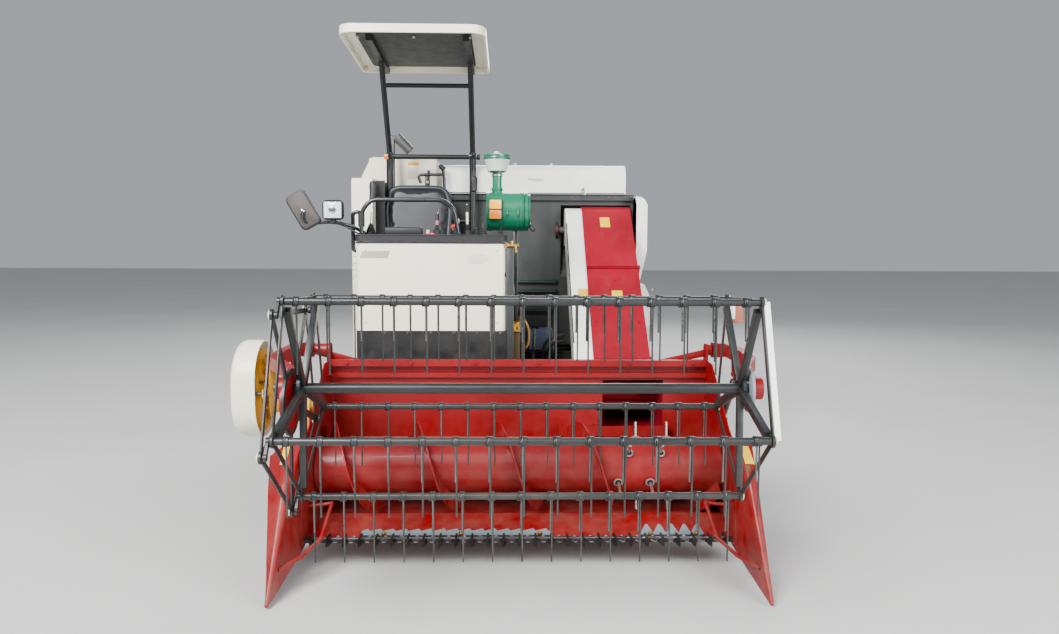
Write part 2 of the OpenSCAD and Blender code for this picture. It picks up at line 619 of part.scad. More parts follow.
// Thresher body with the feeder's inlet, ribs on its front and the sump under it
inlet_gap = 14;
inlet_r = feeder_r + inlet_gap;
inlet_x0 = feeder_x0 - drive_cover_w - 2 * inlet_gap;
inlet_x1 = feeder_x1 + inlet_gap;
feeder_shaft_r = 24;
shoe_x0 = -150;
shoe_x1 = 200;
module thresher_body() color([0.20, 0.22, 0.22]) {
    difference() {
        span(thresher_x0, thresher_x1, thresher_y0, thresher_y1, thresher_z0, thresher_z1);
        rod_x(inlet_x0, inlet_x1, pivot_y, pivot_z, inlet_r);
        rod_x(inlet_x0 - 44, inlet_x1 + 22, pivot_y, pivot_z, feeder_shaft_r + pin_gap);
        side_plate(inlet_x0, inlet_x1, [[thresher_y0 - 1, 1300], [thresher_y0 + 60, 1400],
            feeder_pt(0, feeder_deep + inlet_gap), [thresher_y0 - 1, pivot_z]]);
    }
    for (x = [inlet_x0 - 36, inlet_x1 + 2])
        difference() {
            side_plate(x, x + 14, concat(arc(pivot_y, pivot_z, 46, 90, 270, 12),
                [[thresher_y0 + 1, pivot_z - 60], [thresher_y0 + 1, pivot_z + 60]]));
            rod_x(x - 1, x + 15, pivot_y, pivot_z, feeder_shaft_r + pin_gap);
        }
    for (z = [1050, 1120, 1190, 1260])
        span(thresher_x0 + 60, feeder_x0 - drive_cover_w - 60, thresher_y0 - 34, thresher_y0 + 1, z, z + 26);
    span(thresher_x0, thresher_x1, thresher_y0 - 26, thresher_y0 + 1, thresher_z1 - 44, thresher_z1);
    for (x = lid_hinges) {
        rod_x(x + 58, x + 90, hinge_y, hinge_z, hinge_r);
        span(x + 58, x + 90, hinge_y - 6, hinge_y + 14, thresher_z1 - 1, hinge_z);
    }
    for (z = door_hinges) {
        rod_z(z + 52, z + 82, door_pin_x, door_pin_y, hinge_r);
        span(thresher_x1 - 1, door_pin_x, door_pin_y - 5, door_pin_y + 5, z + 52, z + 82);
    }
    for (x = [thresher_x0 + 60, thresher_x1 - 140])
        span(x, x + 80, 930, 1880, deck_z1 + seat_gap, thresher_z0 + 1);
    side_plate(shoe_x0, shoe_x1, [[760, thresher_z0 + 1], [1010, 560], [1216, 560], [1216, 660],
        [1290, 660], [1290, 560], [1800, 640], [1810, thresher_z0 + 1]]);
}

// Lid over the threshing drum: a shell with a rounded front, hinged at its rear edge
lid_x1 = 922;
lid_y0 = thresher_y0 - 46;
lid_y1 = 1330;
lid_t = 6;
lid_round = 96;
module lid_outline(grow) {
    r = lid_round - grow;
    y1 = lid_y1 - grow;
    polygon(concat([[lid_y0 + grow, thresher_z1 + seat_gap - (grow > 0 ? 1 : 0)]],
        arc(lid_y0 + lid_round, lid_z - lid_round, r, 180, 90, 8),
        arc(lid_y1 - 140, lid_z - 140, 140 - grow, 90, 0, 8),
        [[y1, thresher_z1 + seat_gap - (grow > 0 ? 1 : 0)]]));
}
lid_hinges = [-330, 250, 800];
hinge_r = 9;
hinge_z = thresher_z1 + hinge_r + 0.6;
hinge_y = lid_y1 + 15;
module thresher_lid() color([0.93, 0.93, 0.90]) {
    for (x = lid_hinges) {
        rod_x(x, x + 56, hinge_y, hinge_z, hinge_r);
        span(x, x + 56, lid_y1 - 1, hinge_y, thresher_z1 + 1, thresher_z1 + 6);
    }
    difference() {
        translate([thresher_x0, 0, 0]) rotate([90, 0, 90]) linear_extrude(lid_x1 - thresher_x0) lid_outline(0);
        translate([thresher_x0 + lid_t, 0, 0]) rotate([90, 0, 90])
            linear_extrude(lid_x1 - thresher_x0 - 2 * lid_t) lid_outline(lid_t);
    }
    bent([[222, lid_y0 + 3, 2010], [222, lid_y0 - 22, 2010], [302, lid_y0 - 22, 2010], [302, lid_y0 + 3, 2010]], 5);
}

// Belt drives on the thresher's left side: pulleys as y, z, radius
pulleys = [[820, 1390, 90], [1130, 1580, 190], [1500, 1450, 110], [1640, 1690, 80], [900, 1060, 100], [1400, 1060, 120]];
pulley_x0 = thresher_x1 + seat_gap;
module belt(a, b, x, w) {
    d = norm([b[0] - a[0], b[1] - a[1]]);
    m = atan2(b[1] - a[1], b[0] - a[0]);
    s = acos((a[2] - b[2]) / d);
    translate([x, 0, 0]) rotate([90, 0, 90]) linear_extrude(w) difference() {
        polygon(concat(arc(a[0], a[1], a[2] + 8, m + s, m - s + 360, 14), arc(b[0], b[1], b[2] + 8, m - s, m + s, 14)));
        polygon(concat(arc(a[0], a[1], a[2] - 1, m + s, m - s + 360, 14), arc(b[0], b[1], b[2] - 1, m - s, m + s, 14)));
    }
}
module thresher_drive() color([0.35, 0.36, 0.37]) {
    for (p = pulleys) {
        rod_x(pulley_x0, pulley_x0 + 26, p[0], p[1], 26);
        difference() {
            rod_x(pulley_x0 + 4, pulley_x0 + 24, p[0], p[1], p[2]);
            for (a = [0 : 60 : 300])
                rod_x(pulley_x0 + 3, pulley_x0 + 25, p[0] + p[2] * 0.6 * cos(a), p[1] + p[2] * 0.6 * sin(a),
                    p[2] * 0.2);
        }
    }
    belt(pulleys[0], pulleys[1], pulley_x0 + 5, 8);
    belt(pulleys[1], pulleys[2], pulley_x0 + 15, 8);
    belt(pulleys[2], pulleys[3], pulley_x0 + 5, 8);
    belt(pulleys[4], pulleys[5], pulley_x0 + 10, 8);
}

// Side door over the belts, hinged at its rear edge, and the fixed cover below it
door_x1 = 1062;
door_y0 = 560;
door_y1 = 1760;
door_z0 = 1262;
door_z1 = 1880;
door_t = 6;
module shell_x(x0, outline, inner, front, front_in) difference() {
    intersection() {
        side_plate(x0, x0 + 200, outline);
        front_plate(500, 1800, front);
    }
    intersection() {
        side_plate(x0 - 1, x0 + 200, inner);
        front_plate(500, 1800, front_in);
    }
}
door_hinges = [1510, 1640];
door_pin_x = door_x1 - 20;
door_pin_y = door_y1 + 15;
module side_door() color([0.93, 0.93, 0.88]) {
    x0 = thresher_x1 + seat_gap;
    for (z = door_hinges) {
        rod_z(z, z + 50, door_pin_x, door_pin_y, hinge_r);
        span(door_pin_x - 3, door_pin_x + 3, door_y1 - 1, door_pin_y, z, z + 50);
    }
    shell_x(x0,
        [[door_y0 + 30, door_z0], [door_y1, door_z0], [door_y1, door_z1 - 120], [door_y1 - 120, door_z1],
         [door_y0 + 60, door_z1], [door_y0, door_z1 - 60], [door_y0, door_z0 + 160]],
        [[door_y0 + 36, door_z0 + door_t], [door_y1 - door_t, door_z0 + door_t],
         [door_y1 - door_t, door_z1 - 123], [door_y1 - 123, door_z1 - door_t],
         [door_y0 + 63, door_z1 - door_t], [door_y0 + door_t, door_z1 - 63], [door_y0 + door_t, door_z0 + 160]],
        [[x0, door_z0 - 1], [door_x1 - 46, door_z0 - 1], [door_x1, 1500], [door_x1, 1820], [door_x1 - 12, 1858],
         [door_x1 - 36, door_z1 + 1], [x0, door_z1 + 1]],
        [[x0 - 1, door_z0 - 1], [door_x1 - door_t - 46, door_z0 - 1], [door_x1 - door_t, 1500],
         [door_x1 - door_t, 1818], [door_x1 - 17, 1853], [door_x1 - 39, door_z1 - 5], [x0 - 1, door_z1 - 5]]);
}
cover_low_x1 = 1111;
module side_cover() color([0.93, 0.93, 0.88]) {
    z1 = door_z0 - run_gap;
    x0 = thresher_x1 + seat_gap;
    x1 = cover_low_x1;
    shell_x(x0,
        [[600, 860], [1500, 860], [1700, 960], [1700, z1], [540, z1], [520, z1 - 60], [520, 960]],
        [[604, 866], [1498, 866], [1694, 964], [1694, z1 - 6], [544, z1 - 6], [526, z1 - 62], [526, 962]],
        [[x0, 859], [x1 - 6, 859], [x1, 968], [x1 - 18, 1147], [x1 - 66, z1 + 1], [x0, z1 + 1]],
        [[x0 - 1, 866], [x1 - 12, 866], [x1 - 6, 968], [x1 - 24, 1145], [x1 - 70, z1 - 6], [x0 - 1, z1 - 6]]);
}

// Straw hood at the rear, open below
module straw_hood() color([0.93, 0.93, 0.88]) difference() {
    side_plate(thresher_x0 + 30, thresher_x1 - 40, [[thresher_y1 + seat_gap, 660], [hood_y - 60, 620],
        [hood_y, 700], [hood_y, 1480], [hood_y - 260, 1800], [thresher_y1 + seat_gap, 1850]]);
    side_plate(thresher_x0 + 36, thresher_x1 - 46, [[thresher_y1 + 8, 500], [hood_y - 66, 500],
        [hood_y - 6, 704], [hood_y - 6, 1477], [hood_y - 263, 1794], [thresher_y1 + 8, 1843]]);
    for (z = [980, 1180, 1380]) {
        span(thresher_x0 + 22, thresher_x0 + 31, 2010, 2400, z, z + 34);
        span(thresher_x1 - 41, thresher_x1 - 32, 2010, 2400, z, z + 34);
    }
}

// Grain tank with an open top under its lid, and its hopper floor
tank_t = 5;
lid_tank_t = 30;
tank_low_z = 1260;
tank_top = tank_z1 - lid_tank_t - seat_gap;
tank_lid_x0 = tank_x0 + 102;
tank_hinges = [-900, -560];
tank_pin_y = tank_y1 + 15;
tank_pin_z = tank_z1 - lid_tank_t + 10;
module grain_tank() color([0.90, 0.90, 0.84]) difference() {
    union() {
        front_plate(tank_y0, tank_y1, [[tank_x0, tank_low_z], [tank_x1, tank_low_z], [tank_x1, tank_top],
            [tank_lid_x0, tank_top], [tank_x0 + 48, 2035], [tank_x0 + 20, 1820], [tank_x0, 1600]]);
        side_plate(tank_x0 + 60, tank_x1, [[tank_y0, tank_low_z + 1], [tank_y0 + 120, 900],
            [tank_y1, 900], [tank_y1, tank_low_z + 1]]);
        span(tank_x0 + 90, tank_x0 + 150, 1000, 1640, deck_z1 + seat_gap, 910);
        span(tank_x1 - 110, tank_x1 - 40, 1000, 1640, deck_z1 + seat_gap, 910);
        for (x = tank_hinges) {
            rod_x(x + 52, x + 82, tank_pin_y, tank_pin_z, hinge_r);
            span(x + 52, x + 82, tank_y1 - 1, tank_pin_y + 5, tank_top - 30, tank_top - 20);
            span(x + 52, x + 82, tank_pin_y - 5, tank_pin_y + 5, tank_top - 30, tank_pin_z);
        }
    }
    intersection() {
        side_plate(tank_x0 + tank_t, tank_x1 - tank_t, [[tank_y0 + tank_t, tank_z1],
            [tank_y0 + tank_t, tank_low_z + 20], [tank_y0 + 160, 1000], [tank_y1 - tank_t, 1000],
            [tank_y1 - tank_t, tank_z1]]);
        front_plate(tank_y0, tank_y1, [[tank_x0 + tank_t, 900], [tank_x1, 900], [tank_x1, tank_top + 1],
            [tank_lid_x0 + 8, tank_top + 1], [tank_x0 + 54, 2033], [tank_x0 + 26, 1820], [tank_x0 + tank_t, 1600]]);
    }
    span(tank_x0 - 1, tank_x0 + 60 + tank_t, tank_y0 - 1, tank_y1 + 1, 800, tank_low_z);
}
module tank_lid() color([0.90, 0.90, 0.84]) difference() {
    union() {
        for (x = tank_hinges) {
            rod_x(x, x + 50, tank_pin_y, tank_pin_z, hinge_r);
            span(x, x + 50, tank_y1 - 1, tank_pin_y, tank_pin_z - 3, tank_pin_z + 3);
        }
        front_plate(tank_y0, tank_y1, [[tank_lid_x0, tank_z1 - lid_tank_t], [tank_x1, tank_z1 - lid_tank_t],
            [tank_x1, tank_z1 - 12], [tank_x1 - 12, tank_z1], [tank_lid_x0 + 28, tank_z1],
            [tank_lid_x0, tank_z1 - 12]]);
    }
    span(tank_lid_x0 + 8, tank_x1 - 8, tank_y0 + 8, tank_y1 - 8, tank_z1 - lid_tank_t - 1, tank_z1 - 14);
}

// Unloading auger: standing tube behind the tank, and the boom that swings on it
boom_z = 2000;
boom_rise = 96;
boom_len = 1500;
boom_drop = 36;
module unload_tube() color([0.45, 0.47, 0.48]) {
    rod_z(deck_z1 + seat_gap, boom_z - 36, boom_x, boom_y, boom_r);
    rod_z(boom_z - 36, boom_z - 12, boom_x, boom_y, boom_r + 16);
    rod_z(boom_z - 13, boom_z + 30, boom_x, boom_y, boom_r - 14);
    rod_y(tank_y1 + seat_gap, boom_y, boom_x, 1010, boom_r - 8);
    span(boom_x - 30, boom_x + 30, tank_y1 + seat_gap, boom_y, 1850, 1870);
}
module unload_boom() color([0.45, 0.47, 0.48]) {
    difference() {
        union() {
            rod_z(boom_z - 12 + seat_gap, boom_z + boom_rise, boom_x, boom_y, boom_r);
            translate([boom_x, boom_y, boom_z + boom_rise]) sphere(r = boom_r + 3);
            strut([boom_x, boom_y, boom_z + boom_rise],
                [boom_x + boom_len, boom_y, boom_z + boom_rise - boom_drop], boom_r);
        }
        rod_z(boom_z - 13, boom_z + 30 + seat_gap, boom_x, boom_y, boom_r - 14 + pin_gap);
    }
    strut([boom_x + boom_len - 30, boom_y, boom_z + boom_rise - boom_drop + 30],
        [boom_x + boom_len + 60, boom_y, boom_z + boom_rise - boom_drop - 100], boom_r + 8);
}

// Feeder house with its mouth on the header, cross tube and cylinder bracket
module feeder_house() color([0.75, 0.05, 0.10]) {
    a = feeder_pt(top_along, 0);
    b = feeder_pt(low_along, feeder_deep);
    difference() {
        union() {
            side_plate(feeder_x0, feeder_x1, [[back_y + seat_gap, adapter_low], [back_y + seat_gap, adapter_top],
                a, feeder_pt(0, 0), feeder_pt(0, feeder_deep), b]);
            rod_x(feeder_x0, feeder_x1, pivot_y, pivot_z, feeder_r);
        }
        side_plate(feeder_x0 + sheet_t, feeder_x1 - sheet_t, [[back_y - 1, adapter_low + sheet_t],
            [back_y - 1, adapter_top - sheet_t], [a[0] - 2, a[1] - sheet_t], feeder_pt(-60, sheet_t),
            feeder_pt(-60, feeder_deep - sheet_t), [b[0] - 2, b[1] + sheet_t]]);
    }
    rod_x(inlet_x0 - 40, inlet_x1 + 18, pivot_y, pivot_z, feeder_shaft_r);
    rod_x(lift_x - 46, feeder_x0 + 1, lift_eye_y - 30, 545, 34);
    for (s = [-1, 1])
        side_plate(lift_x + s * 34 - 7, lift_x + s * 34 + 7, [[lift_eye_y - 50, 550], [lift_eye_y + 10, 550],
            [lift_eye_y + 26, lift_eye_z], [lift_eye_y + 14, lift_eye_z - 24], [lift_eye_y - 14, lift_eye_z - 24],
            [lift_eye_y - 34, lift_eye_z]]);
    rod_x(lift_x - 44, lift_x + 44, lift_eye_y, lift_eye_z, 13);
    for (k = [0 : 2])
        rod_x(feeder_x1 - 1, feeder_x1 + 10, feeder_pt(-300 - k * 260, 90)[0], feeder_pt(-300 - k * 260, 90)[1], 40);
    for (d = [-560, -548, top_along + 60])
        side_plate(feeder_x0 + 1, feeder_x1 + 12, [feeder_pt(d, -14), feeder_pt(d + 6, -14),
            feeder_pt(d + 6, 3), feeder_pt(d, 3)]);
    for (d = [-555, top_along + 60])
        side_plate(feeder_x1 - 1, feeder_x1 + 12, [feeder_pt(d, -14), feeder_pt(d + 18, -14),
            feeder_pt(d + 18, feeder_deep - 6), feeder_pt(d, feeder_deep - 6)]);
    rod_x(feeder_x0 + sheet_t - 1, feeder_x1 - sheet_t + 1, -570, 692, 70);
    for (a = [0 : 45 : 315])
        link(feeder_x0 + sheet_t + 20, feeder_x1 - sheet_t - 20, -570, 692, -570 + 92 * cos(a + 20), 692 + 92 * sin(a + 20), 6, 60);
    for (k = [0 : 2])
        side_plate(feeder_x0 + sheet_t - 1, feeder_x1 - sheet_t + 1,
            [feeder_pt(top_along + 30 - k * 60, feeder_deep - 60), feeder_pt(top_along + 36 - k * 60, feeder_deep - 60),
             feeder_pt(top_along + 36 - k * 60, feeder_deep - 28), feeder_pt(top_along + 30 - k * 60, feeder_deep - 28)]);
}

// White cover over the chain drive on the feeder's right side
module feeder_cover() color([0.93, 0.93, 0.90]) difference() {
    a = feeder_pt(top_along, 12);
    side_plate(feeder_x0 - seat_gap - drive_cover_w, feeder_x0 - seat_gap,
        concat([[back_y + 130, adapter_top - 130], [back_y + 160, adapter_top - 14], [a[0], a[1]]],
            arc(pivot_y, pivot_z, feeder_r - 12, 90 + feeder_slope, feeder_slope - 90, 12),
            [feeder_pt(0, 200), feeder_pt(top_along, 190), [a[0] - 140, adapter_top - 150]]));
    rod_x(feeder_x0 - drive_cover_w - 2, feeder_x0 + 1, pivot_y, pivot_z, feeder_shaft_r + pin_gap);
}

// Header: pan, rear wall, beam, side walls and the braces to the reel arms' pivots
module header_frame() color([0.75, 0.04, 0.07]) {
    floor_line = concat([[pan_front_y, pan_z]], arc(auger_y, auger_z, trough_r, 246, 350, 14),
        [[back_y, adapter_low + 4]]);
    floor_back = concat([[back_y, adapter_low - 6]], arc(auger_y, auger_z, trough_r + sheet_t, 350, 246, 14),
        [[pan_front_y, pan_z - sheet_t]]);
    side_plate(wall_x0 - sheet_t, wall_x1 + sheet_t, concat(floor_line, floor_back));
    difference() {
        span(wall_x0 - sheet_t, wall_x1 + sheet_t, back_y - sheet_t, back_y, adapter_low - 10, beam_z - 20);
        span(feeder_x0 + sheet_t, feeder_x1 - sheet_t, back_y - 10, back_y + 10, adapter_low + sheet_t,
            adapter_top - sheet_t);
    }
    span(wall_x0 - sheet_t, wall_x1 + sheet_t, back_y - 46, back_y, beam_z - 24, beam_z + 10);
    span(wall_x0 - sheet_t, wall_x1 + sheet_t, back_y - 30, back_y, 812, 838);
    for (x = [wall_x0 - sheet_t, wall_x1])
        difference() {
            side_plate(x, x + sheet_t, [[pan_front_y - 60, pan_z - 12], [auger_y - 150, 136], [auger_y + 60, 132],
                [back_y, 260], [back_y, beam_z + 10], [back_y - 160, beam_z + 6], [knife_y + 150, 640],
                [pan_front_y - 60, 560]]);
            rod_x(x - 1, x + sheet_t + 1, auger_y, auger_z, 20 + pin_gap);
        }
    header_brackets(-1, wall_x0 - sheet_t, arm_left_x);
    header_brackets(1, wall_x1 + sheet_t, arm_right_x);
    span(360, 963, back_y - 76, back_y - 70, adapter_low + 12, adapter_low + 70);
    for (x = [360, 560, 948])
        span(x, x + 14, back_y - 76, back_y - 1, adapter_low + 12, adapter_low + 70);
    for (x = [wall_x0 + 180, wall_x0 + 620, 200, 470])
        side_plate(x, x + 6, [[back_y - 1, 500], [back_y + 34, 520], [back_y + 34, 790], [back_y - 1, 880]]);
    span(wall_x0 + 60, 560, back_y - 1, back_y + 24, 560, 590);
    for (x = [wall_x0 - sheet_t - 5, wall_x1 + sheet_t - 1]) {
        link(x, x + 6, knife_y + 170, 560, back_y - 20, 840, 40);
        link(x, x + 6, auger_y + 60, 150, back_y - 20, 300, 34);
    }
}
module header_brackets(side, wall, arm) {
    outer = arm + side * (arm_w / 2 + 10);
    rod_x(min(wall - side, outer), max(wall - side, outer), arm_y, arm_z, 18);
    rod_x(min(wall, arm - side * (arm_w / 2 + run_gap)), max(wall, arm - side * (arm_w / 2 + run_gap)), arm_y, arm_z, 32);
    side_plate(min(wall - side * 1, wall + side * 12), max(wall - side * 1, wall + side * 12),
        concat([[arm_y - 40, beam_z - 60], [arm_y + 20, beam_z - 60], [back_y + 60, beam_z]],
            arc(arm_y, arm_z, 38, 0, 180, 10)));
    rod_x(min(wall - side, arm + side * 34), max(wall - side, arm + side * 34), reel_lift_y, reel_lift_z, 10);
}

// Crop dividers: hollow-looking wedges from the side walls to the tips
tip_out = 46;
module divider(side) {
    wall = side > 0 ? wall_x1 + sheet_t : wall_x0 - sheet_t;
    out = side * divider_w;
    x = min(wall + side * seat_gap, wall + out);
    tip = header_x + side * (cut_w / 2 + tip_out);
    hull() {
        translate([x, knife_y + 150, pan_z - 20]) cube([divider_w - seat_gap, 4, 440]);
        translate([x + divider_w / 2, knife_y + 60, divider_h - 42]) rotate([0, 90, 0])
            cylinder(h = divider_w - 8, r = 42, center = true, $fn = facet_fn);
        translate([tip, knife_y - 120, divider_h - 170]) sphere(r = 30, $fn = 16);
        translate([tip, tip_y + 10, 14]) sphere(r = 9, $fn = 12);
        translate([x, knife_y - 60, pan_z - 40]) cube([divider_w - seat_gap, 4, 60]);
    }
}
module guide_rod(side) {
    wall = side > 0 ? wall_x1 : wall_x0;
    bent([[wall + side * 30, knife_y - 340, 118], [wall - side * 45, knife_y - 230, 137],
        [wall - side * 100, knife_y - 86, 168], [wall - side * 110, knife_y + 20, 232],
        [wall - side * 113, knife_y + 120, 276], [wall - side * 60, knife_y + 112, 270],
        [wall - side * 1, knife_y + 108, 268]], 9);
}
module header_dividers() color([0.78, 0.04, 0.08]) {
    divider(1);
    divider(-1);
    guide_rod(1);
    guide_rod(-1);
}

// Header drive: jackshaft, pulleys and chain at the header's right end
drive_y = -1195;
drive_z = 720;
drive_top_z = 925;
drive_wheels = [[drive_y, drive_z, 118], [drive_y, drive_top_z, 78]];
drive_x1 = arm_left_x - 132;
drive_x0 = drive_x1 - 30;
plate_x = arm_left_x - 94;
chain_x = wall_x0 - sheet_t - 30;
auger_sprocket_r = 104;
shaft_sprocket_r = 52;
guard_x0 = drive_x1 - 125;
guard_x1 = drive_x1 - 40;
guard_z0 = 568;
guard_z1 = 1058;
guard_r = 195;
guard_lug = 180;
module stadium(r)
    polygon(concat(arc(drive_y, guard_z1 - guard_r, r, 0, 180, 16), arc(drive_y, guard_z0 + guard_r, r, 180, 360, 16)));
module header_drive() color([0.85, 0.60, 0.10]) {
    rod_x(plate_x, wall_x0 - sheet_t - seat_gap, drive_y, drive_z, 34);
    side_plate(plate_x - 6, plate_x + 1, concat(arc(drive_y, drive_top_z, 60, 0, 180, 12),
        arc(drive_y, drive_z, 60, 180, 360, 12)));
    link(plate_x - 6, plate_x, drive_y - guard_lug, 813, drive_y + guard_lug, 813, 40);
    for (w = drive_wheels) {
        rod_x(drive_x0 - 6, plate_x, w[0], w[1], 20);
        difference() {
            rod_x(drive_x0, drive_x1, w[0], w[1], w[2]);
            for (a = [0 : 72 : 288])
                rod_x(drive_x0 - 1, drive_x1 + 1, w[0] + w[2] * 0.6 * cos(a), w[1] + w[2] * 0.6 * sin(a),
                    w[2] * 0.2);
        }
    }
    belt(drive_wheels[0], drive_wheels[1], drive_x0 + 8, 14);
    rod_x(chain_x, chain_x + 12, drive_y, drive_z, shaft_sprocket_r);
    belt([auger_y, auger_z, auger_sprocket_r + 3], [drive_y, drive_z, shaft_sprocket_r], chain_x + 1, 10);
}
module drive_guard() color([0.92, 0.90, 0.80]) {
    difference() {
        translate([guard_x0, 0, 0]) rotate([90, 0, 90]) linear_extrude(guard_x1 - guard_x0) stadium(guard_r);
        translate([guard_x0 + 6, 0, 0]) rotate([90, 0, 90])
            linear_extrude(guard_x1 - guard_x0) stadium(guard_r - 6);
    }
    for (s = [-1, 1]) rod_x(guard_x0 + 5, plate_x - 6 - seat_gap, drive_y + s * (guard_lug - 12), 813, 8);
}

// Toothed strips that stand on the pan behind the knife
tooth_pitch = 62;
pan_slope = (auger_z + trough_r * sin(246) - pan_z) / (auger_y + trough_r * cos(246) - pan_front_y);
module toothed_strip(x0, count, top) {
    z0 = pan_z + 34 * pan_slope + 2 * seat_gap;
    front_plate(pan_front_y + 30, pan_front_y + 34, concat([[x0, z0]],
        [for (k = [0 : count - 1]) each [[x0 + k * tooth_pitch, z0 + 9], [x0 + (k + 0.5) * tooth_pitch, top]]],
        [[x0 + count * tooth_pitch, z0 + 9], [x0 + count * tooth_pitch, z0]]));
    span(x0, x0 + count * tooth_pitch, pan_front_y + 14, pan_front_y + 34, z0, z0 + 5);
}

// Knife guards: one forked finger every 76.2 mm on the guard bar
guard_pitch = 76.2;
guard_count = floor(cut_w / guard_pitch);
guard_start = header_x - (guard_count - 1) * guard_pitch / 2;
knife_t = 4;
finger_tip = 84;
module finger_plan(w) polygon([[-w, 0], [w, 0], [w * 0.8, -finger_tip * 0.55], [0, -finger_tip],
    [-w * 0.8, -finger_tip * 0.55]]);
module knife_guards() color([0.14, 0.15, 0.15]) {
    span(wall_x0 + seat_gap, wall_x1 - seat_gap, knife_y + 6, pan_front_y - seat_gap, knife_z - 26, knife_z - 8);
    for (k = [0 : guard_count - 1]) {
        x = guard_start + k * guard_pitch;
        translate([x, knife_y + 10, knife_z - 22]) linear_extrude(14) finger_plan(13);
        translate([x, knife_y + 10, knife_z - 22]) linear_extrude(34) intersection() {
            finger_plan(13);
            translate([-20, -finger_tip - 1]) square([40, 24]);
        }
        translate([x - 5, knife_y - 56, knife_z + 6]) cube([10, 92, 6]);
        translate([x - 5, knife_y + 24, knife_z - 9]) cube([10, 12, 16]);
    }
    toothed_strip(-630, 15, pan_z + 46);
    toothed_strip(735, 5, pan_z + 66);
}

// Knife: a back bar with one triangular section for each guard
knife_stroke = 38;
module knife() color([0.45, 0.47, 0.48]) {
    z = knife_z - 8 + 2 * seat_gap;
    span(guard_start, guard_start + (guard_count - 1) * guard_pitch, knife_y + 8, knife_y + 20, z, z + 8);
    translate([0, knife_y + 9, z]) linear_extrude(knife_t)
        for (k = [0 : guard_count - 2])
            translate([guard_start + (k + 0.5) * guard_pitch, 0])
                polygon([[-37, 0], [37, 0], [8, -50], [-8, -50]]);
}

// Crop auger: tube, two flights of opposite hand and the fingers before the feeder's mouth
flight_t = 6;
function helix_pt(x, a, r) = [x, auger_y + r * cos(a), auger_z + r * sin(a)];
module flight(x0, x1, hand, start) {
    steps = ceil(abs(x1 - x0) / auger_pitch * 20);
    turns = abs(x1 - x0) / auger_pitch;
    pts = [for (i = [0 : steps]) let (x = x0 + (x1 - x0) * i / steps, a = start + hand * 360 * turns * i / steps)
        each [helix_pt(x, a, auger_tube_r - 4), helix_pt(x, a, auger_r),
              helix_pt(x + flight_t, a, auger_r), helix_pt(x + flight_t, a, auger_tube_r - 4)]];
    faces = concat([[3, 2, 1, 0]], [for (i = [0 : steps - 1]) for (j = [0 : 3])
        let (a = i * 4 + j, b = i * 4 + (j + 1) % 4) each [[a, b, b + 4], [a, b + 4, a + 4]]],
        [[steps * 4, steps * 4 + 1, steps * 4 + 2, steps * 4 + 3]]);
    polyhedron(pts, hand > 0 ? faces : [for (f = faces) back(f)]);
}
module crop_auger() color([0.78, 0.05, 0.08]) {
    rod_x(wall_x0 + run_gap, wall_x1 - run_gap, auger_y, auger_z, auger_tube_r);
    rod_x(chain_x, wall_x1 + sheet_t + 8, auger_y, auger_z, 20);
    rod_x(chain_x, chain_x + 12, auger_y, auger_z, auger_sprocket_r);
    flight(wall_x0 + 30, feeder_x0 + 10, 1, 40);
    flight(wall_x1 - 30 - flight_t, feeder_x1 + 10, 1, 200);
    for (k = [0 : 5]) {
        x = feeder_x0 + 40 + k * 54;
        a = k * 120 + 20;
        strut(helix_pt(x, a, auger_tube_r - 6), helix_pt(x, a, auger_r - 4), 7);
        strut(helix_pt(x, a + 180, auger_tube_r - 6), helix_pt(x, a + 180, auger_r - 4), 7);
        for (b = [a, a + 180])
            strut(helix_pt(x, b, auger_tube_r - 12), helix_pt(x, b, auger_tube_r + 9), 26);
    }
}

// Reel arms: two bent arms, each with its pivot eye, bearing and lug for the lift rod
module reel_arm(side) {
    x = side > 0 ? arm_right_x : arm_left_x;
    inner = side > 0 ? spider_x1 + spider_t + 40 : ring_x - 20;
    far = inner + side * 36;
    x0 = x - arm_w / 2;
    x1 = x + arm_w / 2;
    f0 = min(inner, far);
    f1 = max(inner, far);
    difference() {
        union() {
            rod_x(x0, x1, arm_y, arm_z, 44);
            side_plate(x0, x1, [[arm_y - 10, arm_z + 40], [-1100, 1030], [-1400, 1030], [-1500, 1016],
                [-1500, 954], [-1400, 962], [-1100, 962], [arm_y - 10, arm_z - 40]]);
            hull() {
                span(x0, x1, -1502, -1498, 954, 1016);
                span(f0, f1, -1782, -1778, 936, 990);
            }
            side_plate(f0, f1, [[-1778, 990], [reel_y, 954 + 40], [reel_y, 954 - 40], [-1778, 936]]);
            rod_x(f0, f1, reel_y, reel_z, 46);
            for (s = [-1, 1])
                side_plate(x + s * 19 - 3, x + s * 19 + 3, [[reel_eye_y - 30, 970], [reel_eye_y + 30, 970],
                    [reel_eye_y + 16, reel_eye_z - 16], [reel_eye_y - 16, reel_eye_z - 16]]);
        }
        rod_x(x0 - 1, x1 + 1, arm_y, arm_z, 18 + pin_gap);
        rod_x(f0 - 1, f1 + 1, reel_y, reel_z, shaft_r + pin_gap);
        rod_x(x0 - 1, x1 + 1, reel_eye_y, reel_eye_z, 7);
    }
    rod_x(x0 - 6, x1 + 6, reel_eye_y, reel_eye_z, 8);
}
module reel_arms() color([0.72, 0.05, 0.08]) {
    reel_arm(1);
    reel_arm(-1);
    difference() {
        union() {
            rod_x(ring_x + 0, ring_x + ring_t, ring_y, ring_z, hub_plate_r);
            rod_x(ring_x - 21, ring_x + 1, ring_y, ring_z, hub_plate_r - 26);
        }
        rod_x(ring_x - 40, ring_x + 40, reel_y, reel_z, shaft_r + pin_gap);
    }
}

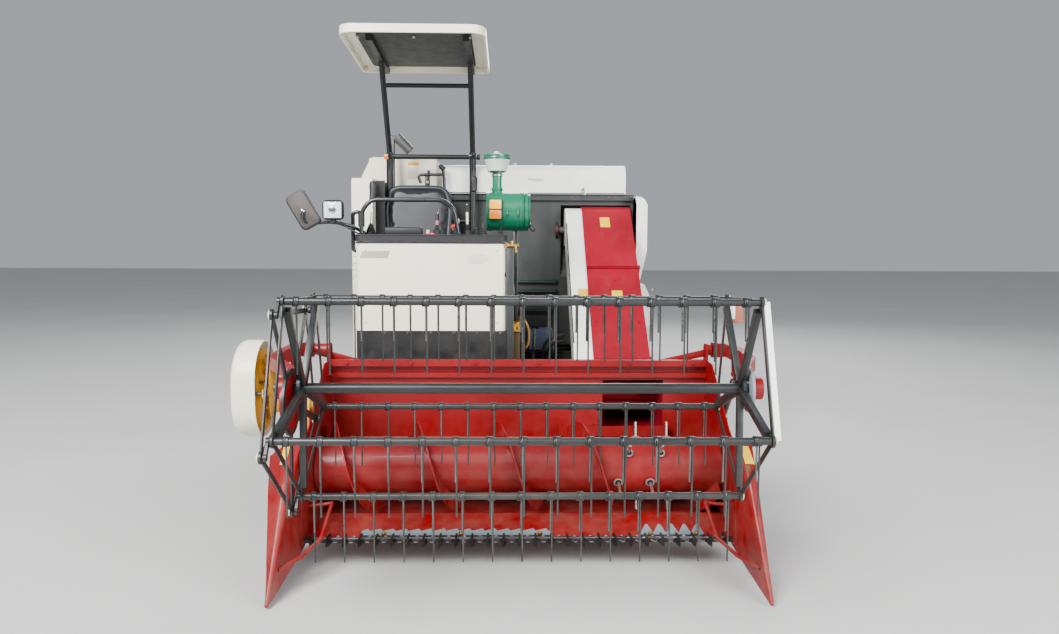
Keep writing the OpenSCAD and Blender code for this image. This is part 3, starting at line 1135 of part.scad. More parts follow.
// Reel frame: shaft, centre tube and a spider of five arms and five rim bars at each end
hub_r = 62;
eye_r = 26;
module spider(x) {
    difference() {
        union() {
            rod_x(x - 3, x + spider_t + 3, reel_y, reel_z, hub_r);
            for (i = bar_steps) {
                link(x + 1, x + spider_t - 1, reel_y, reel_z, bar_y(i), bar_z(i), 38, 24, 14);
                link(x + 2, x + spider_t - 2, bar_y(i), bar_z(i), bar_y(i + 1), bar_z(i + 1), 28, 14, 14);
                rod_x(x, x + spider_t, bar_y(i), bar_z(i), eye_r);
            }
        }
        for (i = bar_steps) rod_x(x - 1, x + spider_t + 1, bar_y(i), bar_z(i), reel_pin_r + pin_gap);
    }
}
module reel_frame() color([0.14, 0.16, 0.16]) {
    rod_x(ring_x - 66, spider_x1 + spider_t + 80, reel_y, reel_z, shaft_r);
    rod_x(spider_x0 + 1, spider_x1 + 1, reel_y, reel_z, 34);
    spider(spider_x0);
    spider(spider_x1);
    rod_x(spider_x1 + spider_t + 14, spider_x1 + spider_t + 28, reel_y, reel_z, 94);
}

// Eccentric ring: it turns with the reel about its own centre and keeps the tines hanging
module reel_ring() color([0.14, 0.16, 0.16]) difference() {
    union() {
        rod_x(ring_x, ring_x + ring_t, ring_y, ring_z, hub_plate_r + 26);
        for (i = bar_steps) {
            link(ring_x + 1, ring_x + ring_t - 1, ring_y, ring_z, bar_y(i) + ring_dy, bar_z(i) + ring_dz, 28, hub_plate_r + 8, 12);
            link(ring_x + 2, ring_x + ring_t - 2, bar_y(i) + ring_dy, bar_z(i) + ring_dz,
                bar_y(i + 1) + ring_dy, bar_z(i + 1) + ring_dz, 22, 12, 12);
            rod_x(ring_x, ring_x + ring_t, bar_y(i) + ring_dy, bar_z(i) + ring_dz, 24);
        }
    }
    rod_x(ring_x - 1, ring_x + ring_t + 1, ring_y, ring_z, hub_plate_r + pin_gap);
    for (i = bar_steps)
        rod_x(ring_x - 1, ring_x + ring_t + 1, bar_y(i) + ring_dy, bar_z(i) + ring_dz, crank_pin_r + pin_gap);
}

// Tine bar: rod, end pins, hanging tines with their coils, and the crank at its right end
tine_r = 3.5;
module tine_bar(i) color([0.18, 0.20, 0.20]) {
    y = bar_y(i);
    z = bar_z(i);
    x0 = spider_x0 + spider_t + 1;
    x1 = spider_x1 - 1;
    rod_x(x0, x1, y, z, tine_bar_r);
    rod_x(crank_x + 1, x0 + 1, y, z, reel_pin_r);
    rod_x(x1 - 1, spider_x1 + spider_t + 5, y, z, reel_pin_r);
    link(crank_x, crank_x + crank_t, y, z, y + ring_dy, z + ring_dz, 22, 5, 4);
    rod_x(crank_x - 1, crank_x + crank_t + 1, y, z, 16);
    rod_x(crank_x - 1, crank_x + crank_t + 1, y + ring_dy, z + ring_dz, 14);
    rod_x(ring_x - 3, crank_x + 1, y + ring_dy, z + ring_dz, crank_pin_r);
    step = (x1 - x0 - 90) / (tine_count - 1);
    for (k = [0 : tine_count - 1]) {
        x = x0 + 45 + k * step;
        rod_x(x - 9, x + 9, y, z, tine_bar_r + 5);
        strut([x, y - 6, z - 6], [x, y - 9, z - tine_l], tine_r);
    }
}
module tine_bar_1() tine_bar(0);
module tine_bar_2() tine_bar(1);
module tine_bar_3() tine_bar(2);
module tine_bar_4() tine_bar(3);
module tine_bar_5() tine_bar(4);

// Lift cylinders, drawn along their own line from the fixed eye to the rod's eye
module along(x, y, z, angle) translate([x, y, z]) rotate([angle, 0, 0]) children();
module barrel(len, r, rod_r, eye, pin, w) difference() {
    union() {
        rod_y(eye * 0.7, len, 0, 0, r);
        rod_x(-w / 2, w / 2, 0, 0, eye);
    }
    rod_x(-w, w, 0, 0, pin + pin_gap);
    rod_y(eye + 20, len + 1, 0, 0, rod_r + pin_gap);
}
module piston(len, start, rod_r, eye, hole, w) difference() {
    union() {
        rod_y(start, len - hole - 2, 0, 0, rod_r);
        translate([0, len, 0]) rod_x(-w / 2, w / 2, 0, 0, eye);
    }
    translate([0, len, 0]) rod_x(-w, w, 0, 0, hole);
}
lift_barrel_len = lift_len - 110;
lift_pin_r = 13;
lift_drift = 16;
module lift_barrel() color([0.12, 0.12, 0.13])
    along(lift_x, lift_y, lift_z, lift_angle)
        barrel(lift_barrel_len, lift_r, lift_rod_r, 36, 14, 60);
module lift_rod() color([0.80, 0.80, 0.82])
    along(lift_x, lift_y, lift_z, lift_angle)
        piston(lift_len, 70, lift_rod_r, 46, lift_pin_r + lift_drift, 44);
reel_barrel_len = reel_lift_len - 64;
module reel_lift_barrels() color([0.12, 0.12, 0.13])
    for (x = [arm_left_x, arm_right_x])
        along(x, reel_lift_y, reel_lift_z, reel_lift_angle)
            barrel(reel_barrel_len, reel_lift_r, reel_rod_r, 22, 10, 30);
module reel_lift_rods() color([0.80, 0.80, 0.82])
    for (x = [arm_left_x, arm_right_x])
        along(x, reel_lift_y, reel_lift_z, reel_lift_angle)
            piston(reel_lift_len, 50, reel_rod_r, 22, 13, 20);

chassis_frame();
track_wheels();
track_left();
track_right();
transmission();
engine_block();
engine_cover();
operator_floor();
front_panel();
console();
seat_frame();
seat_cushion();
seat_back();
canopy_frame();
canopy_roof();
canopy_liner();
handrails();
control_levers();
lamp_mirror();
air_cleaner();
exhaust_pipe();
intake_box();
step_plates();
oil_tank();
thresher_body();
thresher_lid();
thresher_drive();
side_door();
side_cover();
straw_hood();
grain_tank();
tank_lid();
unload_tube();
unload_boom();
feeder_house();
feeder_cover();
header_frame();
header_dividers();
header_drive();
drive_guard();
knife_guards();
knife();
crop_auger();
reel_arms();
reel_frame();
reel_ring();
tine_bar_1();
tine_bar_2();
tine_bar_3();
tine_bar_4();
tine_bar_5();
lift_barrel();
lift_rod();
reel_lift_barrels();
reel_lift_rods();
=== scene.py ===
import math
import bpy
from mathutils import Matrix, Vector


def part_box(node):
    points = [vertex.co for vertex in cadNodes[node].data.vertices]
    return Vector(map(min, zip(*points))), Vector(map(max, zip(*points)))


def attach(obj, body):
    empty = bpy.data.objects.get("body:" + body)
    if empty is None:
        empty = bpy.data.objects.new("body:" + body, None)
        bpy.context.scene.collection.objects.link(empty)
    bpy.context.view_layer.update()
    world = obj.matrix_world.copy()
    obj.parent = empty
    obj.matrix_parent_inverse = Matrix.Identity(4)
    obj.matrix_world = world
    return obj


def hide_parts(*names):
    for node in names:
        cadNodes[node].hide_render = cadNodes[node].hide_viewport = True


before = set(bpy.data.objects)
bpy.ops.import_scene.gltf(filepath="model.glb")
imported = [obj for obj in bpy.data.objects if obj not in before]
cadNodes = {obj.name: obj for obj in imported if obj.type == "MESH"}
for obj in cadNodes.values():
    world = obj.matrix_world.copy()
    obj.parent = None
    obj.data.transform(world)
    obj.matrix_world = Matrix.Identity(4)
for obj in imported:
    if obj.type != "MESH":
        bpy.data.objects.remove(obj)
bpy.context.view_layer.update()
print("frame loaded:", len(cadNodes), "CAD pieces")


# small helpers for shader nodes

def daylight(red, green, blue):  # a colour, 0 to 255, as the shader wants it
    return tuple((c / 255) ** 2.2 for c in (red, green, blue)) + (1.0,)


def startFinish(name):
    finish = bpy.data.materials.new(name)
    finish.use_nodes = True
    tree = finish.node_tree
    shader = tree.nodes["Principled BSDF"]
    spot = tree.nodes.new("ShaderNodeTexCoord")
    return finish, tree, shader, spot.outputs["Object"]


def noiseOn(tree, spot, scale, detail=3.0, stretch=(1, 1, 1), rough=0.5):
    mapping = tree.nodes.new("ShaderNodeMapping")
    mapping.inputs["Scale"].default_value = stretch
    noise = tree.nodes.new("ShaderNodeTexNoise")
    noise.inputs["Scale"].default_value = scale
    noise.inputs["Detail"].default_value = detail
    noise.inputs["Roughness"].default_value = rough
    tree.links.new(spot, mapping.inputs["Vector"])
    tree.links.new(mapping.outputs["Vector"], noise.inputs["Vector"])
    return noise.outputs["Fac"]


def remap(tree, source, low, high, newLow=0.0, newHigh=1.0):
    ranged = tree.nodes.new("ShaderNodeMapRange")
    tree.links.new(source, ranged.inputs["Value"])
    for socket, value in zip(("From Min", "From Max", "To Min", "To Max"), (low, high, newLow, newHigh)):
        ranged.inputs[socket].default_value = value
    return ranged.outputs["Result"]


def times(tree, first, second):
    product = tree.nodes.new("ShaderNodeMath")
    product.operation = "MULTIPLY"
    tree.links.new(first, product.inputs[0])
    tree.links.new(second, product.inputs[1])
    return product.outputs["Value"]


def blendColours(tree, amount, first, second):
    mixer = tree.nodes.new("ShaderNodeMix")
    mixer.data_type = "RGBA"
    tree.links.new(amount, mixer.inputs["Factor"])
    for socket, value in ((mixer.inputs[6], first), (mixer.inputs[7], second)):
        if isinstance(value, tuple):
            socket.default_value = value
        else:
            tree.links.new(value, socket)
    return mixer.outputs[2]


def bumpFrom(tree, shader, height, distance, strength):
    bump = tree.nodes.new("ShaderNodeBump")
    bump.inputs["Distance"].default_value = distance
    bump.inputs["Strength"].default_value = strength
    tree.links.new(height, bump.inputs["Height"])
    tree.links.new(bump.outputs["Normal"], shader.inputs["Normal"])


def heightAbove(tree, spot):
    parts = tree.nodes.new("ShaderNodeSeparateXYZ")
    tree.links.new(spot, parts.inputs["Vector"])
    return parts.outputs["Z"]


# finishes

def paintFinish(name, colour, shade, rough, coat=0.0, shine=0.5, dust=0.4, dustTop=1.0, streaks=0.0,
        soil=(150, 138, 118)):  # sprayed paint: slight unevenness, road dust low down, soft peel
    finish, tree, shader, spot = startFinish(name)
    blotches = remap(tree, noiseOn(tree, spot, 2.2, 4.0), 0.35, 0.68)
    paint = blendColours(tree, blotches, daylight(*colour), daylight(*shade))
    low = remap(tree, heightAbove(tree, spot), dustTop, 0.1)
    specks = remap(tree, noiseOn(tree, spot, 9.0, 8.0, rough=0.65), 0.38, 0.66, 0.0, dust)
    paint = blendColours(tree, times(tree, low, specks), paint, daylight(*soil))
    if streaks:
        runs = remap(tree, noiseOn(tree, spot, 16.0, 5.0, stretch=(1, 1, 0.06)), 0.52, 0.74, 0.0, streaks)
        paint = blendColours(tree, runs, paint, daylight(*soil))
    tree.links.new(paint, shader.inputs["Base Color"])
    gloss = remap(tree, noiseOn(tree, spot, 14.0, 5.0), 0.3, 0.7, rough - 0.06, rough + 0.1)
    tree.links.new(gloss, shader.inputs["Roughness"])
    shader.inputs["Coat Weight"].default_value = coat
    shader.inputs["Coat Roughness"].default_value = 0.12
    shader.inputs["Specular IOR Level"].default_value = shine
    bumpFrom(tree, shader, noiseOn(tree, spot, 420.0, 2.0), 0.0004, 0.25)
    return finish


def metalFinish(name, colour, shade, rough, metal=1.0):
    # bare or plated steel with fine scratches along one way
    finish, tree, shader, spot = startFinish(name)
    stain = remap(tree, noiseOn(tree, spot, 6.0, 6.0), 0.35, 0.7)
    tree.links.new(blendColours(tree, stain, daylight(*colour), daylight(*shade)),
        shader.inputs["Base Color"])
    scratches = noiseOn(tree, spot, 90.0, 4.0, stretch=(0.1, 1, 1))
    tree.links.new(remap(tree, scratches, 0.3, 0.7, rough - 0.08, rough + 0.12), shader.inputs["Roughness"])
    shader.inputs["Metallic"].default_value = metal
    bumpFrom(tree, shader, scratches, 0.0003, 0.3)
    return finish


def rubberFinish(name, colour, soil, rough, dust):  # dull rubber, dusty in patches, with a pitted skin
    finish, tree, shader, spot = startFinish(name)
    dusty = remap(tree, noiseOn(tree, spot, 7.0, 8.0, rough=0.6), 0.42, 0.7, 0.0, dust)
    tree.links.new(blendColours(tree, dusty, daylight(*colour), daylight(*soil)), shader.inputs["Base Color"])
    tree.links.new(remap(tree, dusty, 0.0, 1.0, rough, 0.95), shader.inputs["Roughness"])
    bumpFrom(tree, shader, noiseOn(tree, spot, 160.0, 6.0), 0.0012, 0.45)
    return finish


def vinylFinish(name, colour, shade, rough, grain, sheen=0.08):  # grained vinyl with a soft sheen
    finish, tree, shader, spot = startFinish(name)
    worn = remap(tree, noiseOn(tree, spot, 5.0, 4.0), 0.4, 0.7)
    tree.links.new(blendColours(tree, worn, daylight(*colour), daylight(*shade)), shader.inputs["Base Color"])
    tree.links.new(remap(tree, worn, 0.0, 1.0, rough, rough - 0.08), shader.inputs["Roughness"])
    leather = tree.nodes.new("ShaderNodeTexVoronoi")
    leather.inputs["Scale"].default_value = grain
    tree.links.new(spot, leather.inputs["Vector"])
    bumpFrom(tree, shader, leather.outputs["Distance"], 0.0007, 0.5)
    shader.inputs["Sheen Weight"].default_value = sheen
    return finish


def glowFinish(name, colour, shade, rough, ribs, lift):  # clear or coloured plastic lens
    finish, tree, shader, spot = startFinish(name)
    wave = tree.nodes.new("ShaderNodeTexWave")
    wave.inputs["Scale"].default_value = ribs
    tree.links.new(spot, wave.inputs["Vector"])
    tint = blendColours(tree, wave.outputs["Fac"], daylight(*colour), daylight(*shade))
    tree.links.new(tint, shader.inputs["Base Color"])
    shader.inputs["Roughness"].default_value = rough
    shader.inputs["Coat Weight"].default_value = 0.8
    shader.inputs["Coat Roughness"].default_value = 0.04
    shader.inputs["Emission Color"].default_value = daylight(*colour)
    shader.inputs["Emission Strength"].default_value = lift
    bumpFrom(tree, shader, wave.outputs["Fac"], 0.001, 0.4)
    return finish


finishes = {
    "cream": paintFinish("creamPaint", (245, 241, 220), (240, 235, 210), 0.34, coat=0.3, dust=0.2,
        soil=(176, 166, 142), streaks=0.05, dustTop=1.3),
    "white": paintFinish("whitePaint", (247, 247, 241), (241, 241, 233), 0.33, coat=0.3, dust=0.25,
        soil=(176, 168, 148), streaks=0.06, dustTop=1.2),
    "red": paintFinish("redPaint", (134, 0, 18), (112, 0, 13), 0.4, coat=0.1, shine=0.35, dust=0.25,
        soil=(150, 110, 96), dustTop=0.7),
    "feederRed": paintFinish("feederRed", (142, 2, 36), (122, 1, 28), 0.42, coat=0.1, shine=0.35, dust=0.15,
        soil=(150, 110, 100), streaks=0.05),
    "black": paintFinish("blackPaint", (26, 28, 30), (20, 22, 24), 0.42, dust=0.5, soil=(112, 104, 92),
        dustTop=1.2),
    "frameBlack": paintFinish("framePaint", (38, 40, 42), (30, 32, 34), 0.5, dust=0.8, soil=(118, 108, 92),
        dustTop=1.0),
    "thresherGrey": paintFinish("thresherPaint", (52, 56, 55), (42, 46, 45), 0.45, dust=0.4,
        soil=(112, 106, 94), streaks=0.1, dustTop=1.4),
    "reelGreen": paintFinish("reelPaint", (36, 39, 39), (27, 29, 30), 0.4, coat=0.1, dust=0.4,
        soil=(108, 104, 94), dustTop=0.9),
    "cleanerGreen": paintFinish("cleanerGreen", (22, 112, 82), (16, 96, 70), 0.3, coat=0.5, dust=0.1),
    "oilGrey": paintFinish("oilTankPaint", (112, 128, 150), (98, 114, 136), 0.4, dust=0.4),
    # dark grey under the cream roof: painted shade of the roof's underside
    "paintedShadeCanopyUnder": paintFinish("paintedShadeCanopyUnderside", (62, 63, 66), (52, 53, 56), 0.6, dust=0.1),
    "yellow": paintFinish("driveYellow", (222, 164, 44), (204, 146, 36), 0.42, dust=0.4),
    "castIron": metalFinish("castIron", (92, 92, 92), (70, 68, 66), 0.6, metal=0.7),
    "steel": metalFinish("bareSteel", (150, 152, 155), (118, 118, 120), 0.38),
    "pipeSteel": metalFinish("pipeSteel", (112, 112, 112), (84, 82, 80), 0.48, metal=0.85),
    "chrome": metalFinish("chromeRod", (214, 216, 220), (200, 202, 206), 0.14),
    "rubber": rubberFinish("trackRubber", (30, 30, 31), (110, 100, 84), 0.72, 0.75),
    "moulded": vinylFinish("mouldedPlastic", (27, 28, 30), (34, 35, 38), 0.55, 520.0, sheen=0.0),
    "vinyl": vinylFinish("seatVinyl", (26, 28, 33), (38, 41, 48), 0.42, 380.0),
    "amber": glowFinish("amberLens", (214, 122, 10), (186, 92, 4), 0.25, 60.0, lift=0.1),
    "clearLens": glowFinish("lampGlass", (228, 232, 236), (190, 196, 204), 0.08, 45.0, lift=0.15),
    "zinc": metalFinish("zincPlate", (206, 204, 196), (176, 174, 164), 0.3),
    "brass": metalFinish("brassFitting", (206, 168, 92), (170, 132, 66), 0.32),
    "mirrorGlass": metalFinish("mirrorGlass", (226, 230, 234), (220, 225, 230), 0.1),
    "mirrorShell": vinylFinish("mirrorBackPlastic", (62, 57, 55), (74, 68, 65), 0.6, 700.0, sheen=0.0),
    "blackPaintGloss": paintFinish("tubeBlack", (30, 34, 37), (24, 27, 30), 0.3, coat=0.35, dust=0.3,
        soil=(112, 104, 92), dustTop=1.2),
    "guardBlack": paintFinish("guardBlack", (24, 27, 25), (17, 19, 18), 0.36, dust=0.25, soil=(96, 88, 76),
        dustTop=0.6),
    "bellowsRubber": rubberFinish("bellowsRubber", (22, 22, 23), (84, 80, 74), 0.62, 0.35),
    "ivory": paintFinish("ivoryPlastic", (232, 222, 190), (222, 210, 176), 0.4, dust=0.1),
    "signalRed": paintFinish("signalRed", (206, 26, 34), (188, 20, 28), 0.32, coat=0.4, dust=0.1),
    "rodPink": paintFinish("fadedRed", (206, 118, 140), (190, 98, 122), 0.45, dust=0.1),
    "badgeCream": paintFinish("bareBadge", (228, 224, 210), (220, 216, 200), 0.25, coat=0.5, dust=0.1),
    "badgeGrey": paintFinish("bareBadgeGrey", (176, 170, 152), (160, 154, 138), 0.28, coat=0.4, dust=0.1),
    "labelOrange": paintFinish("labelOrange", (232, 172, 60), (222, 160, 52), 0.35, dust=0.1),
    "stickerYellow": paintFinish("bareStickerYellow", (240, 200, 4), (228, 184, 2), 0.35, coat=0.3, dust=0.2),
    "amberBright": glowFinish("amberBright", (255, 196, 14), (255, 172, 6), 0.22, 70.0, lift=0.3),
    "lensRed": glowFinish("tailLens", (176, 22, 20), (140, 14, 14), 0.2, 80.0, lift=0.1),
    "bowlWhite": vinylFinish("cloudyBowl", (206, 214, 206), (190, 200, 192), 0.3, 60.0, sheen=0.0),
    "postBrown": paintFinish("castBrown", (96, 76, 44), (76, 60, 36), 0.55, dust=0.4),
    "hoseTan": vinylFinish("tanHose", (176, 132, 62), (150, 110, 52), 0.5, 300.0, sheen=0.0),
    "cableGrey": vinylFinish("cableGrey", (128, 128, 122), (104, 104, 100), 0.5, 400.0, sheen=0.0),
    "columnGrey": paintFinish("columnGrey", (50, 53, 53), (42, 45, 45), 0.42, dust=0.3),
    "ribGreen": paintFinish("ribGreen", (40, 70, 56), (32, 58, 46), 0.4, dust=0.2),
    # black for soot, and painted shade in the exhaust mouth and the finger holes
    "sootAndShadeBlack": rubberFinish("sootAndShade", (12, 12, 12), (34, 32, 30), 0.9, 0.3),
    "tineBlack": paintFinish("springPaint", (34, 37, 38), (26, 28, 30), 0.35, coat=0.1, dust=0.3),
    # steel for the upper half of the tines: painted highlight
    "tineHighlightSteel": metalFinish("tineHighlightSteel", (126, 126, 122), (78, 78, 76), 0.32),
    "stripSteel": paintFinish("toothedStrip", (124, 138, 146), (104, 118, 126), 0.35, shine=0.8, dust=0.2),
    "hubGrey": paintFinish("hubDiscPaint", (122, 130, 138), (108, 116, 124), 0.35, coat=0.2, dust=0.2),
    "reflectorBrown": paintFinish("reflectorBrown", (166, 92, 66), (152, 82, 60), 0.4, dust=0.1),
    "ivoryRod": paintFinish("leverCream", (240, 232, 204), (230, 220, 190), 0.35, coat=0.3, dust=0.1),
    "bushCream": paintFinish("nylonBush", (226, 218, 186), (208, 198, 160), 0.4, dust=0.2),
}
print("finishes made:", len(finishes))

nodeFinish = {
    "cream": ["front_panel", "canopy_roof", "intake_box", "drive_guard", "grain_tank", "tank_lid"],
    "white": ["thresher_lid", "side_door", "side_cover", "straw_hood", "feeder_cover"],
    "red": ["header_frame", "header_dividers", "crop_auger", "reel_arms"],
    "feederRed": ["feeder_house"],
    "black": ["engine_cover", "operator_floor", "step_plates", "canopy_frame", "handrails", "lamp_mirror",
        "seat_frame", "lift_barrel", "reel_lift_barrels"],
    "frameBlack": ["chassis_frame"],
    "thresherGrey": ["thresher_body"],
    "guardBlack": ["knife_guards"],
    "reelGreen": ["reel_frame", "reel_ring"] + [f"tine_bar_{k}" for k in range(1, 6)],
    "cleanerGreen": ["air_cleaner"],
    "oilGrey": ["oil_tank"],
    # the liner under the roof takes the painted shade grey
    "paintedShadeCanopyUnder": ["canopy_liner"],
    "yellow": ["header_drive"],
    "castIron": ["track_wheels", "transmission", "engine_block"],
    "steel": ["thresher_drive", "knife"],
    "pipeSteel": ["exhaust_pipe", "unload_tube", "unload_boom"],
    "chrome": ["lift_rod", "reel_lift_rods"],
    "rubber": ["track_left", "track_right"],
    "moulded": ["console", "control_levers"],
    "vinyl": ["seat_cushion", "seat_back"],
}
for finishName, names in nodeFinish.items():
    for name in names:
        slots = cadNodes[name].data.materials
        slots.clear()
        slots.append(finishes[finishName])
print("finishes on the CAD pieces")


# directions on the machine, for the driver's left and right

up, forward, rearward = (0, 0, 1), (0, -1, 0), (0, 1, 0)
leftward, rightward, down = (1, 0, 0), (-1, 0, 0), (0, 0, -1)


# modelling helpers, used the way a modeller would by hand

def editMode(pick=None):
    bpy.ops.object.mode_set(mode="EDIT")
    if pick:
        bpy.ops.mesh.select_all(action=pick)


def objectMode():
    bpy.ops.object.mode_set(mode="OBJECT")


def editFaces(piece, wanted):  # edit mode with only the wanted faces picked
    editMode("DESELECT")
    objectMode()
    for face in piece.data.polygons:
        face.select = wanted(face)
    editMode()


def pushOut(shift):
    bpy.ops.mesh.extrude_region_move(TRANSFORM_OT_translate={"value": shift})


def clearSelection():
    if bpy.context.object and bpy.context.object.mode != "OBJECT":
        objectMode()
    bpy.ops.object.select_all(action="DESELECT")


def chooseOnly(piece):
    clearSelection()
    piece.select_set(True)
    bpy.context.view_layer.objects.active = piece


def applyPlace():
    bpy.ops.object.transform_apply(location=True, rotation=True, scale=True)


def settle(piece, angle=35):  # place goes into the mesh, normals point out, edges stay crisp
    chooseOnly(piece)
    applyPlace()
    editMode("SELECT")
    bpy.ops.mesh.normals_make_consistent(inside=False)
    objectMode()
    bpy.ops.object.shade_smooth_by_angle(angle=math.radians(angle))
    return piece


def softened(piece, edge, steps):  # every edge bevelled
    editMode("SELECT")
    bpy.ops.mesh.bevel(offset=edge, segments=steps, affect="EDGES")
    objectMode()
    return settle(piece)


def block(low, high, edge=0.004, steps=2):
    clearSelection()
    bpy.ops.mesh.primitive_cube_add(size=1, location=[(a + b) / 2 for a, b in zip(low, high)])
    piece = bpy.context.object
    piece.scale = [b - a for a, b in zip(low, high)]
    applyPlace()
    return softened(piece, edge, steps)


def turned(profile, place=(0, 0, 0), direction=up, sides=32, angle=35):
    # lathe work: (distance along the axis, radius) from one end to the other
    clearSelection()
    level, radius = profile[0]
    bpy.ops.mesh.primitive_circle_add(vertices=sides, radius=radius, fill_type="NGON", location=(0, 0, level))
    piece = bpy.context.object
    editMode("SELECT")
    for distance, nextRadius in profile[1:]:
        pushOut((0, 0, distance - level))
        factor = nextRadius / radius
        bpy.ops.transform.resize(value=(factor, factor, 1), center_override=(0, 0, distance))
        level, radius = distance, nextRadius
    objectMode()
    applyPlace()
    piece.rotation_euler = Vector(direction).to_track_quat("Z", "Y").to_euler()
    piece.location = place
    return settle(piece, angle)


def tube(points, radius, sides=4, order=3):  # a bent bar or hose that follows the given points
    clearSelection()
    bpy.ops.curve.primitive_nurbs_path_add()
    piece = bpy.context.object
    piece.data.splines.clear()
    spline = piece.data.splines.new("NURBS" if order > 2 else "POLY")
    spline.points.add(len(points) - 1)
    for knot, point in zip(spline.points, points):
        knot.co = (*point, 1)
    spline.order_u = min(order, len(points))
    spline.use_endpoint_u = True
    spline.resolution_u = 6
    piece.data.dimensions = "3D"
    piece.data.bevel_depth = radius
    piece.data.bevel_resolution = sides
    piece.data.use_fill_caps = True
    bpy.ops.object.convert(target="MESH")
    return settle(bpy.context.object, 50)


def bar(points, radius, sides=3):  # straight between its points
    return tube(points, radius, sides, 2)


def outlineOf(corners):  # one flat face through the corners
    clearSelection()
    bpy.ops.mesh.primitive_circle_add(vertices=len(corners), radius=1, fill_type="NGON")
    piece = bpy.context.object
    for vertex, corner in zip(piece.data.vertices, corners):
        vertex.co = corner
    editMode("SELECT")
    return piece


def plateFrom(corners, depth, direction, edge=0.002, steps=2):
    piece = outlineOf(corners)
    push = Vector(direction).normalized() * depth
    pushOut(push[:])
    return softened(piece, edge, steps)


def roundedPath(corners, radius, steps=5):  # the same corners with a bend in place of each sharp turn
    corners = [Vector(corner) for corner in corners]
    points = [corners[0]]
    for before, corner, after in zip(corners, corners[1:], corners[2:]):
        reach = min(radius, (corner - before).length * 0.48, (after - corner).length * 0.48)
        first = corner + (before - corner).normalized() * reach
        last = corner + (after - corner).normalized() * reach
        for step in range(steps + 1):
            t = step / steps
            points.append(first.lerp(corner, t).lerp(corner.lerp(last, t), t))
    return points + [corners[-1]]


def aroundX(place, radius, degrees):  # places on a circle about an axis that runs across the machine
    x, y, z = place
    return [(x, y + radius * math.cos(turn), z + radius * math.sin(turn))
        for turn in map(math.radians, degrees)]


def cornersOf(nodeName):
    return [Vector(corner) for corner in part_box(nodeName)]


def copies(piece, shifts):  # the first stays, each further one has its own mesh, and all are joined
    made = [piece]
    for shift in shifts:
        twin = piece.copy()
        twin.data = piece.data.copy()
        twin.location = Vector(piece.location) + Vector(shift)
        bpy.context.collection.objects.link(twin)
        made.append(twin)
    return joined(made)


def rowOf(piece, shift, count):
    return copies(piece, [Vector(shift) * k for k in range(1, count)])


def joined(made):
    clearSelection()
    for each in made:
        each.select_set(True)
    bpy.context.view_layer.objects.active = made[0]
    if len(made) > 1:
        bpy.ops.object.join()
    applyPlace()
    return bpy.context.object


def finished(piece, name, finish, body="chassis", *hides):  # a list of parts becomes one piece
    if isinstance(piece, list):
        piece = joined(piece)
    piece.name = name
    piece.data.name = name
    piece.data.materials.clear()
    piece.data.materials.append(finishes[finish])
    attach(piece, body)
    if hides:
        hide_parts(*hides)
    return piece


def boltHead(place, direction, size, washer=True):
    r = size / 2
    profile = [(0, r * 1.9), (0.0022, r * 1.9), (0.0024, r * 1.15)] if washer else [(0, r * 1.15)]
    return turned(profile + [(0.0024 + r * 1.1, r * 1.15), (0.0024 + r * 1.35, r * 0.9)], place, direction,
        sides=12 if washer else 6)


def bolts(name, places, direction, size, body="chassis", finish="zinc"):
    first = boltHead(places[0], direction, size)
    row = copies(first, [Vector(p) - Vector(places[0]) for p in places[1:]])
    return finished(row, name, finish, body)


# seat: two vinyl pads blown up as cloth, with piping sewn on after

seatLook = {"voxel": 0.008, "pressure": 4.0, "swell": 0.022, "inset": (0.94, 0.88, 0.95), "piping": 0.006,
    "roll": 0.021, "frames": 20, "middle": -0.556, "foot": 1.476, "lean": 0.169}


def softPad(nodeName, look):
    pad = bpy.data.objects.new(nodeName + "Pad", cadNodes[nodeName].data.copy())
    bpy.context.collection.objects.link(pad)
    low, high = cornersOf(nodeName)
    middle = (low + high) / 2
    chooseOnly(pad)
    editMode("SELECT")
    bpy.ops.mesh.remove_doubles(threshold=0.0002)
    bpy.ops.mesh.normals_make_consistent(inside=False)
    bpy.ops.transform.resize(value=look["inset"], center_override=middle)
    objectMode()
    pad.data.remesh_voxel_size = look["voxel"]
    bpy.ops.object.voxel_remesh()
    before = [v.co.copy() for v in pad.data.vertices]
    cloth = pad.modifiers.new("swell", "CLOTH")
    cloth.settings.use_pressure = True
    cloth.settings.uniform_pressure_force = look["pressure"]
    cloth.settings.effector_weights.gravity = 0
    for frameNumber in range(1, look["frames"] + 1):
        bpy.context.scene.frame_set(frameNumber)
    blown = pad.evaluated_get(bpy.context.evaluated_depsgraph_get())
    after = [v.co.copy() for v in blown.data.vertices]
    pad.modifiers.remove(cloth)
    bpy.context.scene.frame_set(1)
    for vertex, old, new in zip(pad.data.vertices, before, after):
        move = new - old
        if move.length > look["swell"]:
            move = move.normalized() * look["swell"]
        point = old + move
        vertex.co = [min(max(c, a + 0.001), b - 0.001) for c, a, b in zip(point, low, high)]
    smoother = pad.modifiers.new("relax", "SMOOTH")
    smoother.iterations = 6
    finer = pad.modifiers.new("finer", "SUBSURF")
    finer.levels = finer.render_levels = 1
    chooseOnly(pad)
    bpy.ops.object.modifier_apply(modifier="relax")
    bpy.ops.object.modifier_apply(modifier="finer")
    bpy.ops.object.shade_smooth()
    finished(pad, nodeName + "Pad", "vinyl", "chassis", nodeName)


def seatArch(front, half, bend):  # mirrored about the seat's middle, leaning with its back
    path = [(-wide, z) for wide, z in half] + [(wide, z) for wide, z in reversed(half[:-1])]
    middle, foot, lean = seatLook["middle"], seatLook["foot"], seatLook["lean"]
    return roundedPath([(middle + wide, front + (z - foot) * lean, z) for wide, z in path], bend)


